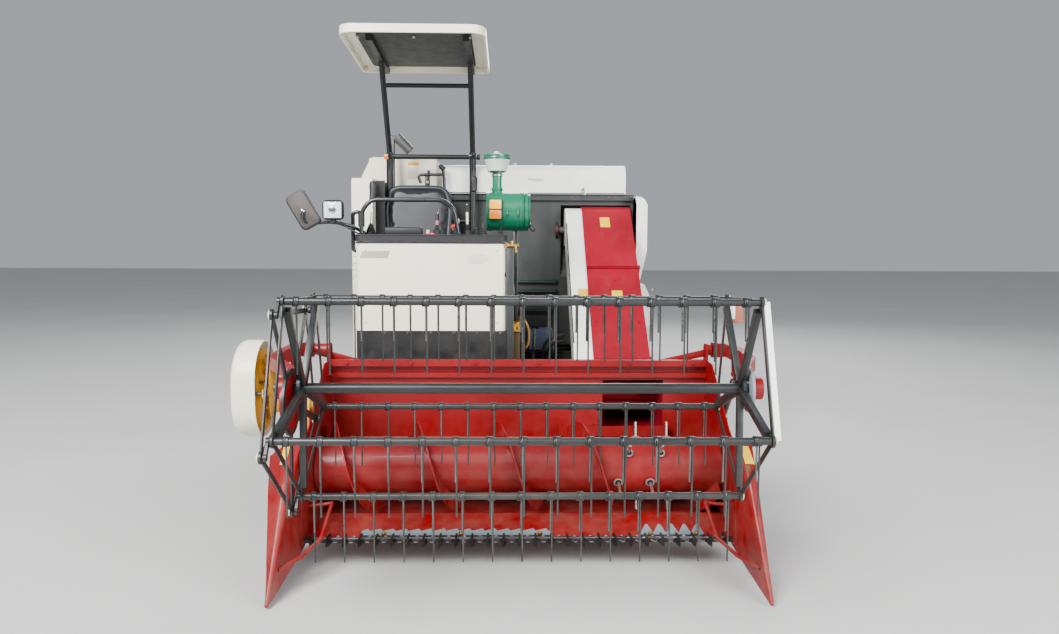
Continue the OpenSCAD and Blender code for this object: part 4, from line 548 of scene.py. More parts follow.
def buildSeat(look):
    for nodeName in ("seat_cushion", "seat_back"):
        softPad(nodeName, look)
    roll = seatArch(0.4855, ((0.204, 1.49), (0.226, 1.8), (0.189, 1.926), (0, 1.929)), 0.07)
    finished(bar(roll, look["roll"], 5), "seatBackRoll", "vinyl")
    seam = seatArch(0.4705, ((0.176, 1.5), (0.196, 1.79), (0.166, 1.896), (0, 1.9)), 0.06)
    finished(bar(seam, look["piping"] * 0.6), "seatBackPiping", "moulded")
    low, high = cornersOf("seat_cushion")
    half = [(0.03, high.y - 0.03, 0.022), (0.016, low.y + 0.1, 0.02), (0.05, low.y + 0.022, 0.024)]
    edge = [(low.x + inset, y, high.z - sink) for inset, y, sink in half]
    edge += [(high.x - inset, y, high.z - sink) for inset, y, sink in reversed(half)]
    finished(tube(edge, look["piping"], 3), "seatCushionPiping", "moulded")


# levers: rubber bellows at each foot and moulded knobs, as on the console

leverLook = {
    "levers": [  # foot, lean, top; grip's finish, radius, length; rod's finish, radius; bellows' radius
        ((-0.727, -0.484, 1.597), (0.012, 0.054), 1.905, "moulded", 0.0185, 0.114, "chrome", 0.0068, 0.033),
        ((-0.114, -0.42, 1.578), (-0.014, 0.03), 1.94, "moulded", 0.0175, 0.086, "ivoryRod", 0.0058, 0.031),
        ((-0.16, -0.486, 1.597), (-0.004, 0.01), 1.772, "ivoryRod", 0.0068, 0.12, "ivoryRod", 0.005, 0.02),
        ((-0.338, -0.5, 1.597), (0.0, 0.03), 1.716, "rodPink", 0.0082, 0.07, "rodPink", 0.0078, 0.019),
        ((-0.066, -0.43, 1.578), (-0.004, 0.03), 1.66, "chrome", 0.0072, 0.06, "signalRed", 0.0095, 0.024),
        ((0.02, -0.3, 1.441), (0.01, 0.03), 1.62, "moulded", 0.0155, 0.062, "chrome", 0.0068, 0.028),
        ((-0.225, -0.505, 1.597), (0.006, 0.04), 1.69, "ivoryRod", 0.0105, 0.042, "chrome", 0.006, 0.022),
    ],
    "flared": [(-0.03, 0.66), (0.03, 1.04), (0.2, 1.02), (0.5, 1.1), (0.78, 1.26), (0.92, 1.24), (1.0, 0.96),
        (1.03, 0.5)],
    "knob": [(-0.06, 0.62), (0.08, 1.06), (0.4, 1.02), (0.75, 1.12), (0.93, 0.95), (1.03, 0.5)],
    "thickGrip": 0.016, "bellowsHeight": 0.052, "folds": 5,
}


def bellows(foldRadius, rodRadius, height, folds):
    profile = [(0.0, foldRadius + 0.003), (0.004, foldRadius + 0.003)]
    for fold in range(folds):
        share = fold / folds
        wide = foldRadius * (1 - 0.6 * share)
        level = 0.006 + height * share
        profile += [(level, wide * 0.82), (level + height * 0.09, wide), (level + height * 0.14, wide * 0.84)]
    return profile + [(height + 0.012, rodRadius + 0.001)]


def buildLevers(look):
    for number, lever in enumerate(look["levers"], 1):
        foot, lean, top, finish, radius, length, rodFinish, rodRadius, foldRadius = lever
        head = Vector((foot[0] + lean[0], foot[1] + lean[1], top))
        along = (head - Vector(foot)).normalized()
        upright = abs(along.x) + abs(along.y) >= 0.3
        profile = bellows(foldRadius, rodRadius, look["bellowsHeight"], look["folds"])
        finished(turned(profile, foot, up if upright else along, 28), f"leverBellows{number}",
            "bellowsRubber")
        base = head - along * length
        shape = look["flared"] if radius > look["thickGrip"] else look["knob"]
        finished(turned([(share * length, radius * wide) for share, wide in shape], base, along, 28),
            f"leverGrip{number}", finish)
        finished(bar([Vector(foot) + along * 0.05, base + along * 0.004], rodRadius, 4), f"leverRod{number}",
            rodFinish)
    bend = roundedPath([(-0.338, -0.4725, 1.7), (-0.338, -0.47, 1.722), (-0.326, -0.47, 1.742)], 0.012)
    finished(bar(bend, 0.0032), "leverTip", "chrome")


# work lamp and mirror

lampLook = {"low": (-0.98, -0.62, 1.676), "high": (-0.858, -0.57, 1.79), "rim": 0.014, "sink": 0.008}


def buildLamp(look):
    low, high = Vector(look["low"]), Vector(look["high"])
    shell = block(low, high, 0.024, 5)
    editFaces(shell, lambda face: face.normal.y < -0.98)
    bpy.ops.mesh.inset(thickness=look["rim"], depth=0)
    pushOut((0, look["sink"], 0))
    objectMode()
    finished(settle(shell), "lampShell", "moulded", "chassis", "lamp_mirror")
    rim = Vector((0.011, 0, 0.011))
    lens = block(Vector((low.x, low.y + 0.001, low.z)) + rim, Vector((high.x, low.y + 0.012, high.z)) - rim,
        0.005, 3)
    editMode("SELECT")
    bpy.ops.mesh.subdivide(number_cuts=3)
    objectMode()
    middle = (low + high) / 2
    for vertex in lens.data.vertices:
        if vertex.co.y < low.y + 0.004:
            reach = max(abs(vertex.co.x - middle.x) / 0.05, abs(vertex.co.z - middle.z) / 0.05)
            vertex.co.y -= 0.006 * max(0, 1 - reach * reach)
    finished(settle(lens, 60), "lampLens", "clearLens")
    finished(turned([(0, 0.01), (0.002, 0.018), (0.006, 0.019), (0.008, 0.008)],
        (middle.x, low.y - 0.004, middle.z), forward, 24), "lampBulbCap", "chrome")
    finished(turned([(0, 0.007), (0.004, 0.009), (0.046, 0.009), (0.05, 0.007)],
        (middle.x - 0.025, low.y + 0.004, middle.z + 0.004), leftward, 16), "lampBulb", "castIron")
    stalk = roundedPath([(-0.768, -0.5, 1.608), (-0.83, -0.56, 1.65), (-0.95, -0.59, 1.668),
        (-1.07, -0.6, 1.65), (-1.1, -0.6, 1.69)], 0.05)
    foot = turned([(0, 0.016), (0.003, 0.019), (0.01, 0.019), (0.013, 0.014), (0.022, 0.013)],
        (-0.768, -0.5, 1.597), up, 24)
    stay = bar(roundedPath([(-0.79, -0.532, 1.6), (-0.85, -0.566, 1.64), (-0.919, -0.58, 1.664)], 0.04),
        0.0055)
    finished([bar(stalk, 0.01, 5), foot, stay], "lampArm", "blackPaintGloss")
    finished(turned([(0, 0.017), (0.004, 0.019), (0.012, 0.019), (0.016, 0.012), (0.03, 0.012)],
        (middle.x, -0.594, 1.66), up, 24), "lampSwivel", "moulded")
    finished(tube([(middle.x, -0.585, 1.7), (middle.x + 0.004, -0.56, 1.672),
        (middle.x + 0.03, -0.575, 1.655), (-0.84, -0.566, 1.64), (-0.79, -0.52, 1.6)], 0.0035, 3),
        "lampLead", "bellowsRubber")


mirrorLook = {"centre": (-1.085, -0.6, 1.732), "tilt": -30, "half": (0.062, 0.011, 0.109), "corner": 0.028,
    "layers": [  # share of the outline, depth in half depths, shift, soft edge
        ("mirrorRim", "moulded", 1.0, 2.1, 0.0, 0.004),
        ("mirrorBack", "mirrorShell", 0.86, 0.35, -0.0228, 0.0018),
        ("mirrorGlass", "mirrorGlass", 0.88, 0.06, 0.0012, 0.0018),
    ]}


def buildMirror(look):
    halfX, halfY, halfZ = look["half"]
    r = look["corner"]
    outline = []
    for sideX, sideZ, first in ((1, 1, 0), (-1, 1, 90), (-1, -1, 180), (1, -1, 270)):
        for step in range(5):
            turn = math.radians(first + step * 22.5)
            outline.append((sideX * (halfX - r) + r * math.cos(turn), halfY,
                sideZ * (halfZ - r) + r * math.sin(turn)))
    turnY = Matrix.Rotation(math.radians(look["tilt"]), 4, "Y")
    centre = Vector(look["centre"])
    for name, finish, grow, push, lift, edge in look["layers"]:
        corners = [centre + turnY @ Vector((x * grow, y + lift, z * (1 - (1 - grow) * halfX / halfZ)))
            for x, y, z in outline]
        finished(plateFrom(corners, halfY * push, turnY @ Vector(forward), edge), name, finish)
    finished(turned([(0, 0.007), (0.004, 0.012), (0.01, 0.014), (0.016, 0.012), (0.02, 0.006)],
        centre + Vector((-0.002, -0.012, -0.006)), forward, 20), "mirrorBall", "chrome")
    finished(tube([(-1.058, -0.606, 1.655), (-1.08, -0.625, 1.668), (-1.088, -0.634, 1.7),
        (-1.087, -0.632, 1.724)], 0.0075, 4), "mirrorArm", "blackPaintGloss")


# front panel and dash: fixings, top seal and two badges left bare

panelLook = {"apronBolts": 7, "apronStep": 0.1325, "apronZ": 1.035, "screwInset": (0.055, 0.05),
    "badge": (0.062, 0.03), "badgeSink": 0.0005}


def buildPanel(look):
    low, high = cornersOf("front_panel")
    places = [(low.x + 0.027 + k * look["apronStep"], low.y + 0.008, look["apronZ"])
        for k in range(look["apronBolts"])]
    bolts("apronBolts", places, forward, 0.01, "chassis", "castIron")
    x, z = look["screwInset"]
    places = [(across, low.y, level) for across in (low.x + x, high.x - x)
        for level in (low.z + z, high.z - z)]
    bolts("panelScrews", places, forward, 0.008, "chassis", "ivory")
    finished(block((low.x + 0.004, low.y - 0.0035, high.z - 0.012),
        (high.x - 0.004, low.y + 0.002, high.z - 0.001), 0.0012), "panelTopSeal", "bellowsRubber")
    y = low.y + look["badgeSink"]
    finished(plateFrom([(-0.762, y, 1.462), (-0.606, y, 1.462), (-0.59, y, 1.504), (-0.746, y, 1.504)],
        0.0022, forward, 0.0006), "panelBadgeRight", "badgeGrey")
    plain = turned([(0, 1.0), (0.0018, 1.0), (0.0026, 0.97)], (0, 0, 0), forward, 40)
    wide, tall = look["badge"]
    plain.scale = (wide, 1, tall)
    plain.location = (-0.093, y, 1.462)
    finished(settle(plain), "panelBadgeLeft", "badgeCream")
    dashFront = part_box("console")[0][1]
    finished(bar([(low.x + 0.02, dashFront + 0.002, high.z + 0.036),
        (high.x - 0.02, dashFront + 0.002, high.z + 0.036)], 0.0045), "dashLip", "moulded")


dashLook = {"dialX": (-0.59, -0.53, -0.47), "switchX": (-0.4, -0.37), "podEdge": 0.014, "podRim": 0.01}


def buildDashTop(look):  # instrument pod, key switch and two rocker switches on the dash
    pod = block((-0.64, -0.56, 1.59), (-0.42, -0.475, 1.64), look["podEdge"], 3)
    editFaces(pod, lambda face: face.normal.z > 0.98)
    bpy.ops.mesh.inset(thickness=look["podRim"])
    pushOut((0, 0, -0.006))
    objectMode()
    finished(settle(pod), "dashPod", "moulded")
    dials = [turned([(0, 0.024), (0.003, 0.026), (0.006, 0.026), (0.007, 0.021), (0.004, 0.02)],
        (x, -0.517, 1.63), up, 28) for x in look["dialX"]]
    finished(dials, "dashDials", "chrome")
    switches = [block((x, -0.545, 1.594), (x + 0.022, -0.52, 1.606), 0.003) for x in look["switchX"]]
    finished(switches, "dashSwitches", "signalRed")
    finished(turned([(0, 0.012), (0.004, 0.013), (0.01, 0.011), (0.016, 0.009), (0.024, 0.01),
        (0.028, 0.007)], (-0.39, -0.5, 1.596), up, 24), "dashKnob", "ivory")
    low = Vector((-0.262, 0.03, 1.3305))
    high = Vector((-0.274, -0.03, 1.64))
    finished(bar([low, low.lerp(high, 0.5), high], 0.006, 4), "sideLeverRod", "chrome")
    finished(turned([(0, 0.007), (0.003, 0.012), (0.014, 0.0145), (0.026, 0.012), (0.03, 0.006)],
        high - Vector((0, 0, 0.004)), high - low, 24), "sideLeverKnob", "signalRed")


# air cleaner: amber marker lamp, clips, dust valve and the cloudy bowl with its lid

cleanerLook = {"centre": (-0.132, 1.746), "radius": 0.12, "stack": (0.007, -0.132), "clipX": (0.071, 0.137),
    "clipBends": ((180, 0.002), (187, 0.009), (194, 0.009), (201, 0.002)),
    "lampX": (-0.038, 0.036), "lampZ": (1.694, 1.812)}


def buildAirCleaner(look):
    y, z = look["centre"]
    r = look["radius"]
    x0, x1 = look["lampX"]
    z0, z1 = look["lampZ"]
    front = y - r
    finished(block((x0 - 0.004, front - 0.012, z0 - 0.004), (x1 + 0.004, front + 0.032, z1 + 0.004), 0.005),
        "markerLampBase", "moulded")
    split = (z0 + z1) / 2
    finished(block((x0, front - 0.03, split + 0.002), (x1, front - 0.008, z1), 0.007, 3), "markerLampUpper",
        "amberBright")
    finished(block((x0, front - 0.027, z0), (x1, front - 0.008, split - 0.002), 0.007, 3), "markerLampLower",
        "amber")
    seams = [turned([(-0.002, r + 0.0028), (0.002, r + 0.0028)], (x, y, z), leftward, 48)
        for x in (0.171, 0.184)]
    finished(seams, "cleanerSeams", "cleanerGreen")
    stand = [block((0.1095, -0.1465, 0.7835), (0.1385, -0.1175, 1.632), 0.002),
        block((0.0085, -0.1465, 0.7603), (0.1375, -0.1175, 0.785), 0.002)]
    finished(stand, "cleanerStand", "blackPaintGloss")
    clips = []
    for x in look["clipX"]:
        path = [aroundX((x, y, z), r + rise, [turn])[0] for turn, rise in look["clipBends"]]
        cross = Vector((0.008, 0, 0))
        clips += [bar(path, 0.0022), bar([Vector(path[1]) - cross, Vector(path[1]) + cross], 0.0028)]
    finished(clips, "cleanerClips", "steel")
    sx, sy = look["stack"]
    finished(turned([(0, 0.05), (0.004, 0.0605), (0.03, 0.0665), (0.066, 0.0768), (0.074, 0.08),
        (0.079, 0.0795)], (sx, sy, 1.991), up, 56), "dustBowl", "bowlWhite")
    finished(turned([(0, 0.0805), (0.003, 0.0845), (0.012, 0.0845), (0.016, 0.081), (0.026, 0.07),
        (0.031, 0.045), (0.033, 0.02)], (sx, sy, 2.068), up, 56, 50), "dustBowlLid", "cleanerGreen")
    nut = [turned([(0, 0.009), (0.006, 0.009), (0.008, 0.006), (0.018, 0.005)], (sx, sy, 2.098), up, 16),
        block((sx - 0.016, sy - 0.002, 2.104), (sx + 0.016, sy + 0.002, 2.114), 0.0015)]
    finished(nut, "dustBowlNut", "zinc")
    finished(turned([(0, 0.034), (0.004, 0.036), (0.016, 0.036), (0.02, 0.033)], (sx, sy, 1.872), up, 40),
        "stackCollar", "cleanerGreen")
    clamp = [turned([(0, 0.0325), (0.002, 0.0345), (0.012, 0.0345), (0.014, 0.0325)], (sx, sy, 1.962), up,
        36), boltHead((sx, sy - 0.0345, 1.969), forward, 0.01, False)]
    finished(clamp, "stackClamp", "zinc")
    top, foot = Vector((0.205, -0.175, 1.668)), Vector((0.23, -0.192, 1.634))
    slope = (foot - top).normalized()
    finished(turned([(-0.006, 0.011), (0.0, 0.0135), (0.012, 0.0135), (0.016, 0.012)], top, slope, 24),
        "valveRing", "chrome")
    finished(turned([(0.0, 0.0118), (0.012, 0.0142), (0.03, 0.015), (0.044, 0.0118), (0.047, 0.006)],
        top + slope * 0.012, slope, 24), "dustValve", "bellowsRubber")
    finished(tube([(0.04, -0.222, 1.66), (0.022, -0.3, 1.61), (0.02, -0.4, 1.52), (0.04, -0.52, 1.47),
        (0.05, -0.6, 1.44), (0.062, -0.64, 1.36)], 0.004, 3), "markerLampLead", "bellowsRubber")


# hydraulics in the gap between panel and feeder, placed from the photograph

hydraulicLook = {
    "tee": (0.1, -0.64, 1.536), "box": ((0.09, -0.335, 1.014), (0.166, -0.275, 1.068)),
    "hoses": [  # radius, finish, route
        (0.008, "hoseTan", [(0.14, -0.312, 1.066), (0.142, -0.34, 1.1), (0.18, -0.35, 1.085),
            (0.206, -0.34, 1.02), (0.204, -0.33, 0.94), (0.185, -0.32, 0.905), (0.168, -0.31, 0.93),
            (0.16, -0.3, 0.985)]),
        (0.011, "bellowsRubber", [(0.3, 0.04, 0.765), (0.302, 0.02, 0.85), (0.33, -0.03, 0.925),
            (0.39, -0.05, 0.955), (0.44, -0.03, 0.96)]),
        (0.01, "bellowsRubber", [(0.33, 0.06, 0.765), (0.332, 0.04, 0.84), (0.36, -0.01, 0.895),
            (0.41, -0.02, 0.915), (0.45, -0.01, 0.918)]),
        (0.0065, "zinc", [(0.258, 0.292, 0.958), (0.256, 0.286, 0.9), (0.256, 0.286, 0.8),
            (0.256, 0.3, 0.765)]),
        (0.0065, "zinc", [(0.372, 0.292, 0.955), (0.384, 0.286, 0.88), (0.386, 0.286, 0.8),
            (0.386, 0.3, 0.765)]),
        (0.0038, "bellowsRubber", [(0.122, -0.64, 1.492), (0.116, -0.632, 1.42), (0.104, -0.63, 1.33),
            (0.112, -0.6, 1.22), (0.124, -0.5, 1.12), (0.126, -0.34, 1.064)]),
        (0.0032, "cableGrey", [(0.09, -0.64, 1.52), (0.086, -0.63, 1.4), (0.118, -0.61, 1.29),
            (0.104, -0.56, 1.17), (0.1, -0.4, 1.09), (0.104, -0.31, 1.066)]),
    ],
}


def buildHydraulics(look):
    tee = Vector(look["tee"])
    parts = [turned([(0, 0.01), (0.004, 0.013), (0.016, 0.013), (0.02, 0.009), (0.062, 0.009), (0.066, 0.012),
        (0.074, 0.012)], tee - Vector((0.034, 0, 0)), leftward, 16),
        turned([(0, 0.008), (0.016, 0.008), (0.018, 0.011), (0.026, 0.011)], tee, up, 16),
        turned([(0, 0.009), (0.012, 0.009), (0.014, 0.007), (0.038, 0.007)], tee + Vector((0.022, 0, 0)),
            down, 16)]
    finished(parts, "brassTee", "brass")
    finished(block(tee + Vector((-0.046, -0.006, -0.014)), tee + Vector((-0.028, 0.014, 0.014)), 0.003),
        "teeClamp", "zinc")
    low, high = (Vector(c) for c in look["box"])
    parts = [block(low, high, 0.004)]
    parts += [block((low.x + x0, low.y - 0.01, low.z + 0.012), (low.x + x1, low.y + 0.002, low.z + 0.03),
        0.003) for x0, x1 in ((0.01, 0.03), (0.045, 0.064))]
    finished(parts, "valveBlock", "yellow")
    finished(block((0.112, -0.325, 0.7605), (0.152, -0.285, 1.0142), 0.003), "valvePost", "postBrown")
    finished(block((low.x - 0.012, low.y - 0.006, low.z - 0.006),
        (high.x + 0.014, high.y + 0.004, low.z + 0.001), 0.001), "valveFlange", "zinc")
    bolts("valveBolts", [(low.x + 0.01, low.y - 0.001, high.z - 0.012),
        (high.x - 0.012, low.y - 0.001, high.z - 0.012)], forward, 0.008)
    for number, (radius, finish, path) in enumerate(look["hoses"], 1):
        finished(tube(path, radius, 4), f"hydraulicHose{number}", finish)
    finished(turned([(0, 0.024), (0.006, 0.026), (0.018, 0.026), (0.022, 0.018)], (0.262, 0.37, 0.957), up,
        28), "oilFillerCap", "moulded")
    straps = [block((x, 0.2975, 0.815), (x + 0.018, 0.4425, 0.9605), 0.002) for x in (0.25, 0.336)]
    finished(straps, "oilTankStraps", "oilGrey")
    finished(block((0.071, -0.6475, 0.884), (0.112, -0.612, 1.52), 0.003), "panelColumn", "columnGrey")


# behind the seat: the bracket with its bar, clamps on the posts, plain label on the tank

bracketLook = {"bar": 0.0105, "stay": 0.0115, "rail": 0.01, "clampX": (-0.77, -0.18)}


def buildBehindSeat(look):
    finished(block((-0.52, 0.64, 1.84), (-0.484, 0.648, 2.06), 0.002), "seatBracket", "blackPaintGloss")
    bolts("seatBracketPins", [(-0.502, 0.64, 1.975), (-0.502, 0.64, 2.022)], forward, 0.01)
    finished(tube([(-0.548, 0.632, 1.968), (-0.566, 0.632, 2.01), (-0.556, 0.632, 2.026),
        (-0.52, 0.632, 2.028), (-0.43, 0.632, 2.028), (-0.392, 0.632, 2.03)], look["bar"], 4),
        "seatBracketBar", "blackPaintGloss")
    finished(tube([(-0.38, 0.63, 1.84), (-0.381, 0.63, 1.96), (-0.384, 0.628, 2.04), (-0.396, 0.628, 2.076),
        (-0.412, 0.628, 2.088)], look["stay"], 4), "bracketStay", "blackPaintGloss")
    finished(turned([(0, 0.012), (0.004, 0.0165), (0.02, 0.018), (0.044, 0.016), (0.05, 0.009)],
        (-0.376, 0.628, 2.064), (-0.8, 0, 0.55), 20), "bracketGrip", "moulded")
    finished(bar([(-0.545, 0.645, 1.862), (-0.355, 0.645, 1.862)], look["rail"], 4), "bracketRail",
        "blackPaintGloss")
    finished(block((-0.669, 0.8865, 2.014), (-0.589, 0.8895, 2.138), 0.001), "tankLabel", "badgeCream")
    finished(block((-0.669, 0.8855, 2.114), (-0.589, 0.887, 2.138), 0.0005), "tankLabelBand", "labelOrange")
    clamps = []
    for x in look["clampX"]:
        clamps.append(block((x - 0.03, 0.622, 2.138), (x + 0.03, 0.678, 2.172), 0.006))
        clamps += [boltHead((x + side, 0.622, 2.155), forward, 0.01) for side in (-0.016, 0.016)]
    finished(clamps, "crossbarClamps", "blackPaintGloss")
    finished(block((-0.806, 0.612, 2.132), (-0.768, 0.64, 2.168), 0.005), "rearMarkerLamp", "amber")
    finished(turned([(0, 0.019), (0.003, 0.0205), (0.016, 0.0205), (0.019, 0.012)], (-0.146, 0.65, 2.155),
        leftward, 24), "crossbarCap", "moulded")


# feeder: bare sticker places, seam, handle, edge of the chain cover and end of the upper shaft

def feederPoint(along, under):  # the feeder's slanted upper face: metres along it, metres under it
    return (0.598 + 0.725 * along + 0.688 * under, 1.7633 + 0.688 * along - 0.725 * under)


feederLook = {
    "stickers": [  # from and to across the machine, place along the face, height, depth under the face
        (0.722, 0.79, -0.15, 0.1, 0), (0.753, 0.822, -0.833, 0.072, 0), (0.534, 0.598, -0.838, 0.104, 0.012),
    ],
    "seam": -0.695, "handle": -0.86, "handleX": (0.7, 0.85), "grip": -0.028, "coverX": 0.4865,
}


def buildFeeder(look):
    plates = []
    for x0, x1, along, tall, under in look["stickers"]:
        y0, z0 = feederPoint(along, under - 0.0025)
        y1, z1 = feederPoint(along + tall, under - 0.0025)
        corners = [(x0, y0, z0), (x1, y0, z0), (x1, y1, z1), (x0, y1, z1)]
        plates.append(plateFrom(corners, 0.003, (0, 0.688, -0.725), 0.0006))
    finished(plates, "feederStickers", "stickerYellow", "header")
    y, z = feederPoint(look["seam"], 0)
    finished(bar([(0.648, y, z), (0.9, y, z)], 0.003), "feederSeam", "feederRed", "header")
    places = [(0.781, *feederPoint(-0.672, 0.001))]
    places += [(x, *feederPoint(-1.03, 0.001)) for x in (0.64, 0.775, 0.91)]
    bolts("feederBolts", places, (0, -0.688, 0.725), 0.01, "header", "feederRed")
    foot, grip = feederPoint(look["handle"], 0), feederPoint(look["handle"], look["grip"])
    x0, x1 = look["handleX"]
    finished(bar([(x0, *foot), (x0, *grip), (x1, *grip), (x1, *foot)], 0.005, 4), "feederHandle",
        "blackPaintGloss", "header")
    x = look["coverX"]
    finished(bar([(x, *feederPoint(-1.2, 0.011)), (x, *feederPoint(-0.1, 0.011))], 0.0035), "coverEdge",
        "moulded", "header")
    places = [(0.485, *feederPoint(a, 0.1)) for a in (-0.95, -0.62, -0.3)]
    bolts("coverBolts", places, rightward, 0.01, "header")
    finished(turned([(0, 0.0246), (0.036, 0.0246), (0.0395, 0.018), (0.0405, 0.01)], (x, 0.715, 1.64),
        rightward, 28), "feederShaftEnd", "castIron", "header")


# thresher: strip bolts, ribs in the shade and the fittings of its lid

thresherLook = {"boltX": (-0.34, -0.1, 0.16, 0.535, 0.8, 0.965), "ribs": 4, "ribStep": 0.07,
    "knobX": (0.124, 0.39), "catchX": (-0.2, 0.6)}


def buildThresher(look):
    places = [(x, 0.714, 1.878) for x in look["boltX"]]
    bolts("thresherStripBolts", places, forward, 0.01, "chassis", "castIron")
    rib = block((-0.335, 0.703, 1.064), (0.42, 0.7062, 1.074), 0.0012)
    finished(rowOf(rib, (0, 0, look["ribStep"]), look["ribs"]), "thresherRibLines", "ribGreen")
    knobs = [turned([(0, 0.007), (0.01, 0.007), (0.012, 0.011), (0.02, 0.011), (0.023, 0.007)],
        (x, 0.85, 2.108), up, 16) for x in look["knobX"]]
    finished(knobs, "lidKnobs", "ivory", "lid")
    finished(bar([(-0.395, 0.694, 1.906), (0.915, 0.694, 1.906)], 0.0035), "lidSeal", "bellowsRubber", "lid")
    catches = []
    for x in look["catchX"]:
        catches.append(block((x, 0.6865, 1.915), (x + 0.034, 0.694, 1.95), 0.002))
        catches.append(bar([(x + 0.006, 0.69, 1.93), (x + 0.006, 0.684, 1.895), (x + 0.028, 0.684, 1.895),
            (x + 0.028, 0.69, 1.93)], 0.0025))
    finished(catches, "lidCatches", "zinc", "lid")


sideLook = {"doorSlots": 7, "doorStep": 0.022, "coverSlots": 9, "coverStep": 0.028, "windowZ": (1.5, 1.95)}


def buildSides(look):
    latch = [block((1.061, 0.68, 1.6), (1.068, 0.74, 1.65), 0.002),
        bar([(1.067, 0.692, 1.625), (1.082, 0.71, 1.625), (1.067, 0.732, 1.625)], 0.004)]
    finished(latch, "doorHandle", "moulded", "door")
    slot = block((1.0612, 1.02, 1.6), (1.065, 1.4, 1.61), 0.0012)
    finished(rowOf(slot, (0, 0, look["doorStep"]), look["doorSlots"]), "doorLouvres", "white", "door")
    places = [(1.1105, y, z) for y in (0.6, 1.1, 1.62) for z in (0.9, 1.215)]
    bolts("sideCoverBolts", places, leftward, 0.011)
    slot = block((1.11, 0.8, 0.96), (1.113, 0.812, 1.12), 0.0012)
    finished(rowOf(slot, (0, look["coverStep"], 0), look["coverSlots"]), "sideCoverLouvres", "white")
    places = [(-1.0575, y, z) for y in (0.95, 1.3, 1.64) for z in (1.3, 1.72)]
    bolts("tankBolts", places, rightward, 0.011)
    # the windows take the lamp glass, whose glow is painted light here, as no lamp is behind them
    gauge = [turned([(0, 0.032), (0.004, 0.034), (0.008, 0.03)], (-1.0575, 1.3, z), rightward, 28)
        for z in look["windowZ"]]
    finished(gauge, "tankWindows", "clearLens")
    lamp = block((-0.3, 2.5045, 1.16), (-0.205, 2.518, 1.205), 0.006)
    finished(rowOf(lamp, (1.16, 0, 0), 2), "rearLamps", "lensRed")
    seams = [block((-0.366, 2.5036, z), (0.926, 2.5052, z + 0.004), 0.0005) for z in (1.335, 1.045)]
    seams += [block((x, 2.5036, 0.715), (x + 0.004, 2.5052, 1.335), 0.0005) for x in (0.06, 0.5)]
    finished(seams, "hoodSeams", "columnGrey")


backLook = {"tube": (-0.86, 1.93, 0.068), "rings": (0.9, 1.35, 1.76), "vents": 5, "strips": 10,
    "stripStep": 0.124, "stagger": 0.003}


def buildBack(look):  # hood fixings, service panel with its grip, straw curtain, tube rings
    places = [(x, 2.5035, z) for x in (-0.345, 0.905) for z in (0.74, 0.95, 1.16, 1.4)]
    places += [(x, 2.5035, z) for x in (0.085, 0.475) for z in (1.075, 1.305)]
    bolts("hoodBolts", places, rearward, 0.01)
    finished(block((0.072, 2.503, 1.06), (0.488, 2.5085, 1.322), 0.002), "hoodPanel", "white")
    finished(bar(roundedPath([(0.215, 2.506, 1.23), (0.215, 2.532, 1.23), (0.345, 2.532, 1.23),
        (0.345, 2.506, 1.23)], 0.012), 0.006, 4), "hoodGrip", "moulded")
    slot = block((0.15, 2.5075, 1.085), (0.41, 2.5105, 1.093), 0.001)
    finished(rowOf(slot, (0, 0, 0.02), look["vents"]), "hoodVents", "columnGrey")
    strips = []
    for k in range(look["strips"]):
        x, y = -0.35 + k * look["stripStep"], 2.4275 + look["stagger"] * (k % 2)
        strips.append(block((x, y, 0.5), (x + 0.117, y + 0.006, 0.655), 0.0015))
    finished(strips, "strawCurtain", "bellowsRubber")
    x, y, r = look["tube"]
    rings = [turned([(0, r + 0.001), (0.002, r + 0.01), (0.022, r + 0.01), (0.024, r + 0.001)], (x, y, z),
        up, 40) for z in look["rings"]]
    ears = [block((x - 0.01, y + r + 0.004, z + 0.002), (x + 0.01, y + r + 0.03, z + 0.022), 0.002)
        for z in look["rings"]]
    finished(rings + ears, "tubeRings", "castIron")
    places = [(1.0618, y, z) for y in (0.64, 1.08, 1.56) for z in (1.54, 1.79)]
    bolts("doorBolts", places, leftward, 0.009, "door")
    rib = block((-1.06, 1.02, 1.32), (-1.0565, 1.032, 1.9), 0.0015)
    finished(rowOf(rib, (0, 0.16, 0), 4), "tankRibs", "cream")


canopyLook = {"inset": 0.1, "shares": (0.14, 0.86), "bolt": 0.012}


def buildCanopy(look):
    low, high = cornersOf("canopy_roof")
    places = []
    for x in (low.x + look["inset"], (low.x + high.x) / 2, high.x - look["inset"]):
        for share in look["shares"]:
            y = low.y + share * (high.y - low.y)
            z = high.z - (1 - share) * (high.z - low.z - 0.052)
            places.append((x, y, z - 0.001))
    bolts("roofBolts", places, (0, -0.07, 1), look["bolt"])


exhaustLook = {"top": (-0.738, 0.795, 2.312), "mouth": (-0.642, 0.805, 2.211), "radius": 0.0365}


def buildExhaust(look):
    top, mouth, r = Vector(look["top"]), Vector(look["mouth"]), look["radius"]
    ahead = (mouth - top).normalized()
    reach = (mouth - top).length
    finished(turned([(0.004, r), (reach * 0.9, r), (reach + 0.001, r + 0.002),
        (reach + 0.001, 0.0335), (reach - 0.028, 0.0325)], top, ahead, 40), "exhaustOutlet", "pipeSteel")
    # black disc just inside the mouth: soot, and painted shade of the pipe's inside
    finished(turned([(0, 0.032), (0.001, 0.032)], mouth - ahead * 0.0005, ahead, 32), "exhaustSootAndShade",
        "sootAndShadeBlack")
    finished(turned([(0, 0.0225), (0.002, 0.0255), (0.02, 0.0255), (0.022, 0.0225)], (-0.772, 0.79, 1.6), up,
        28), "exhaustClamp", "zinc")


railLook = {"radius": 0.013, "bend": 0.05}


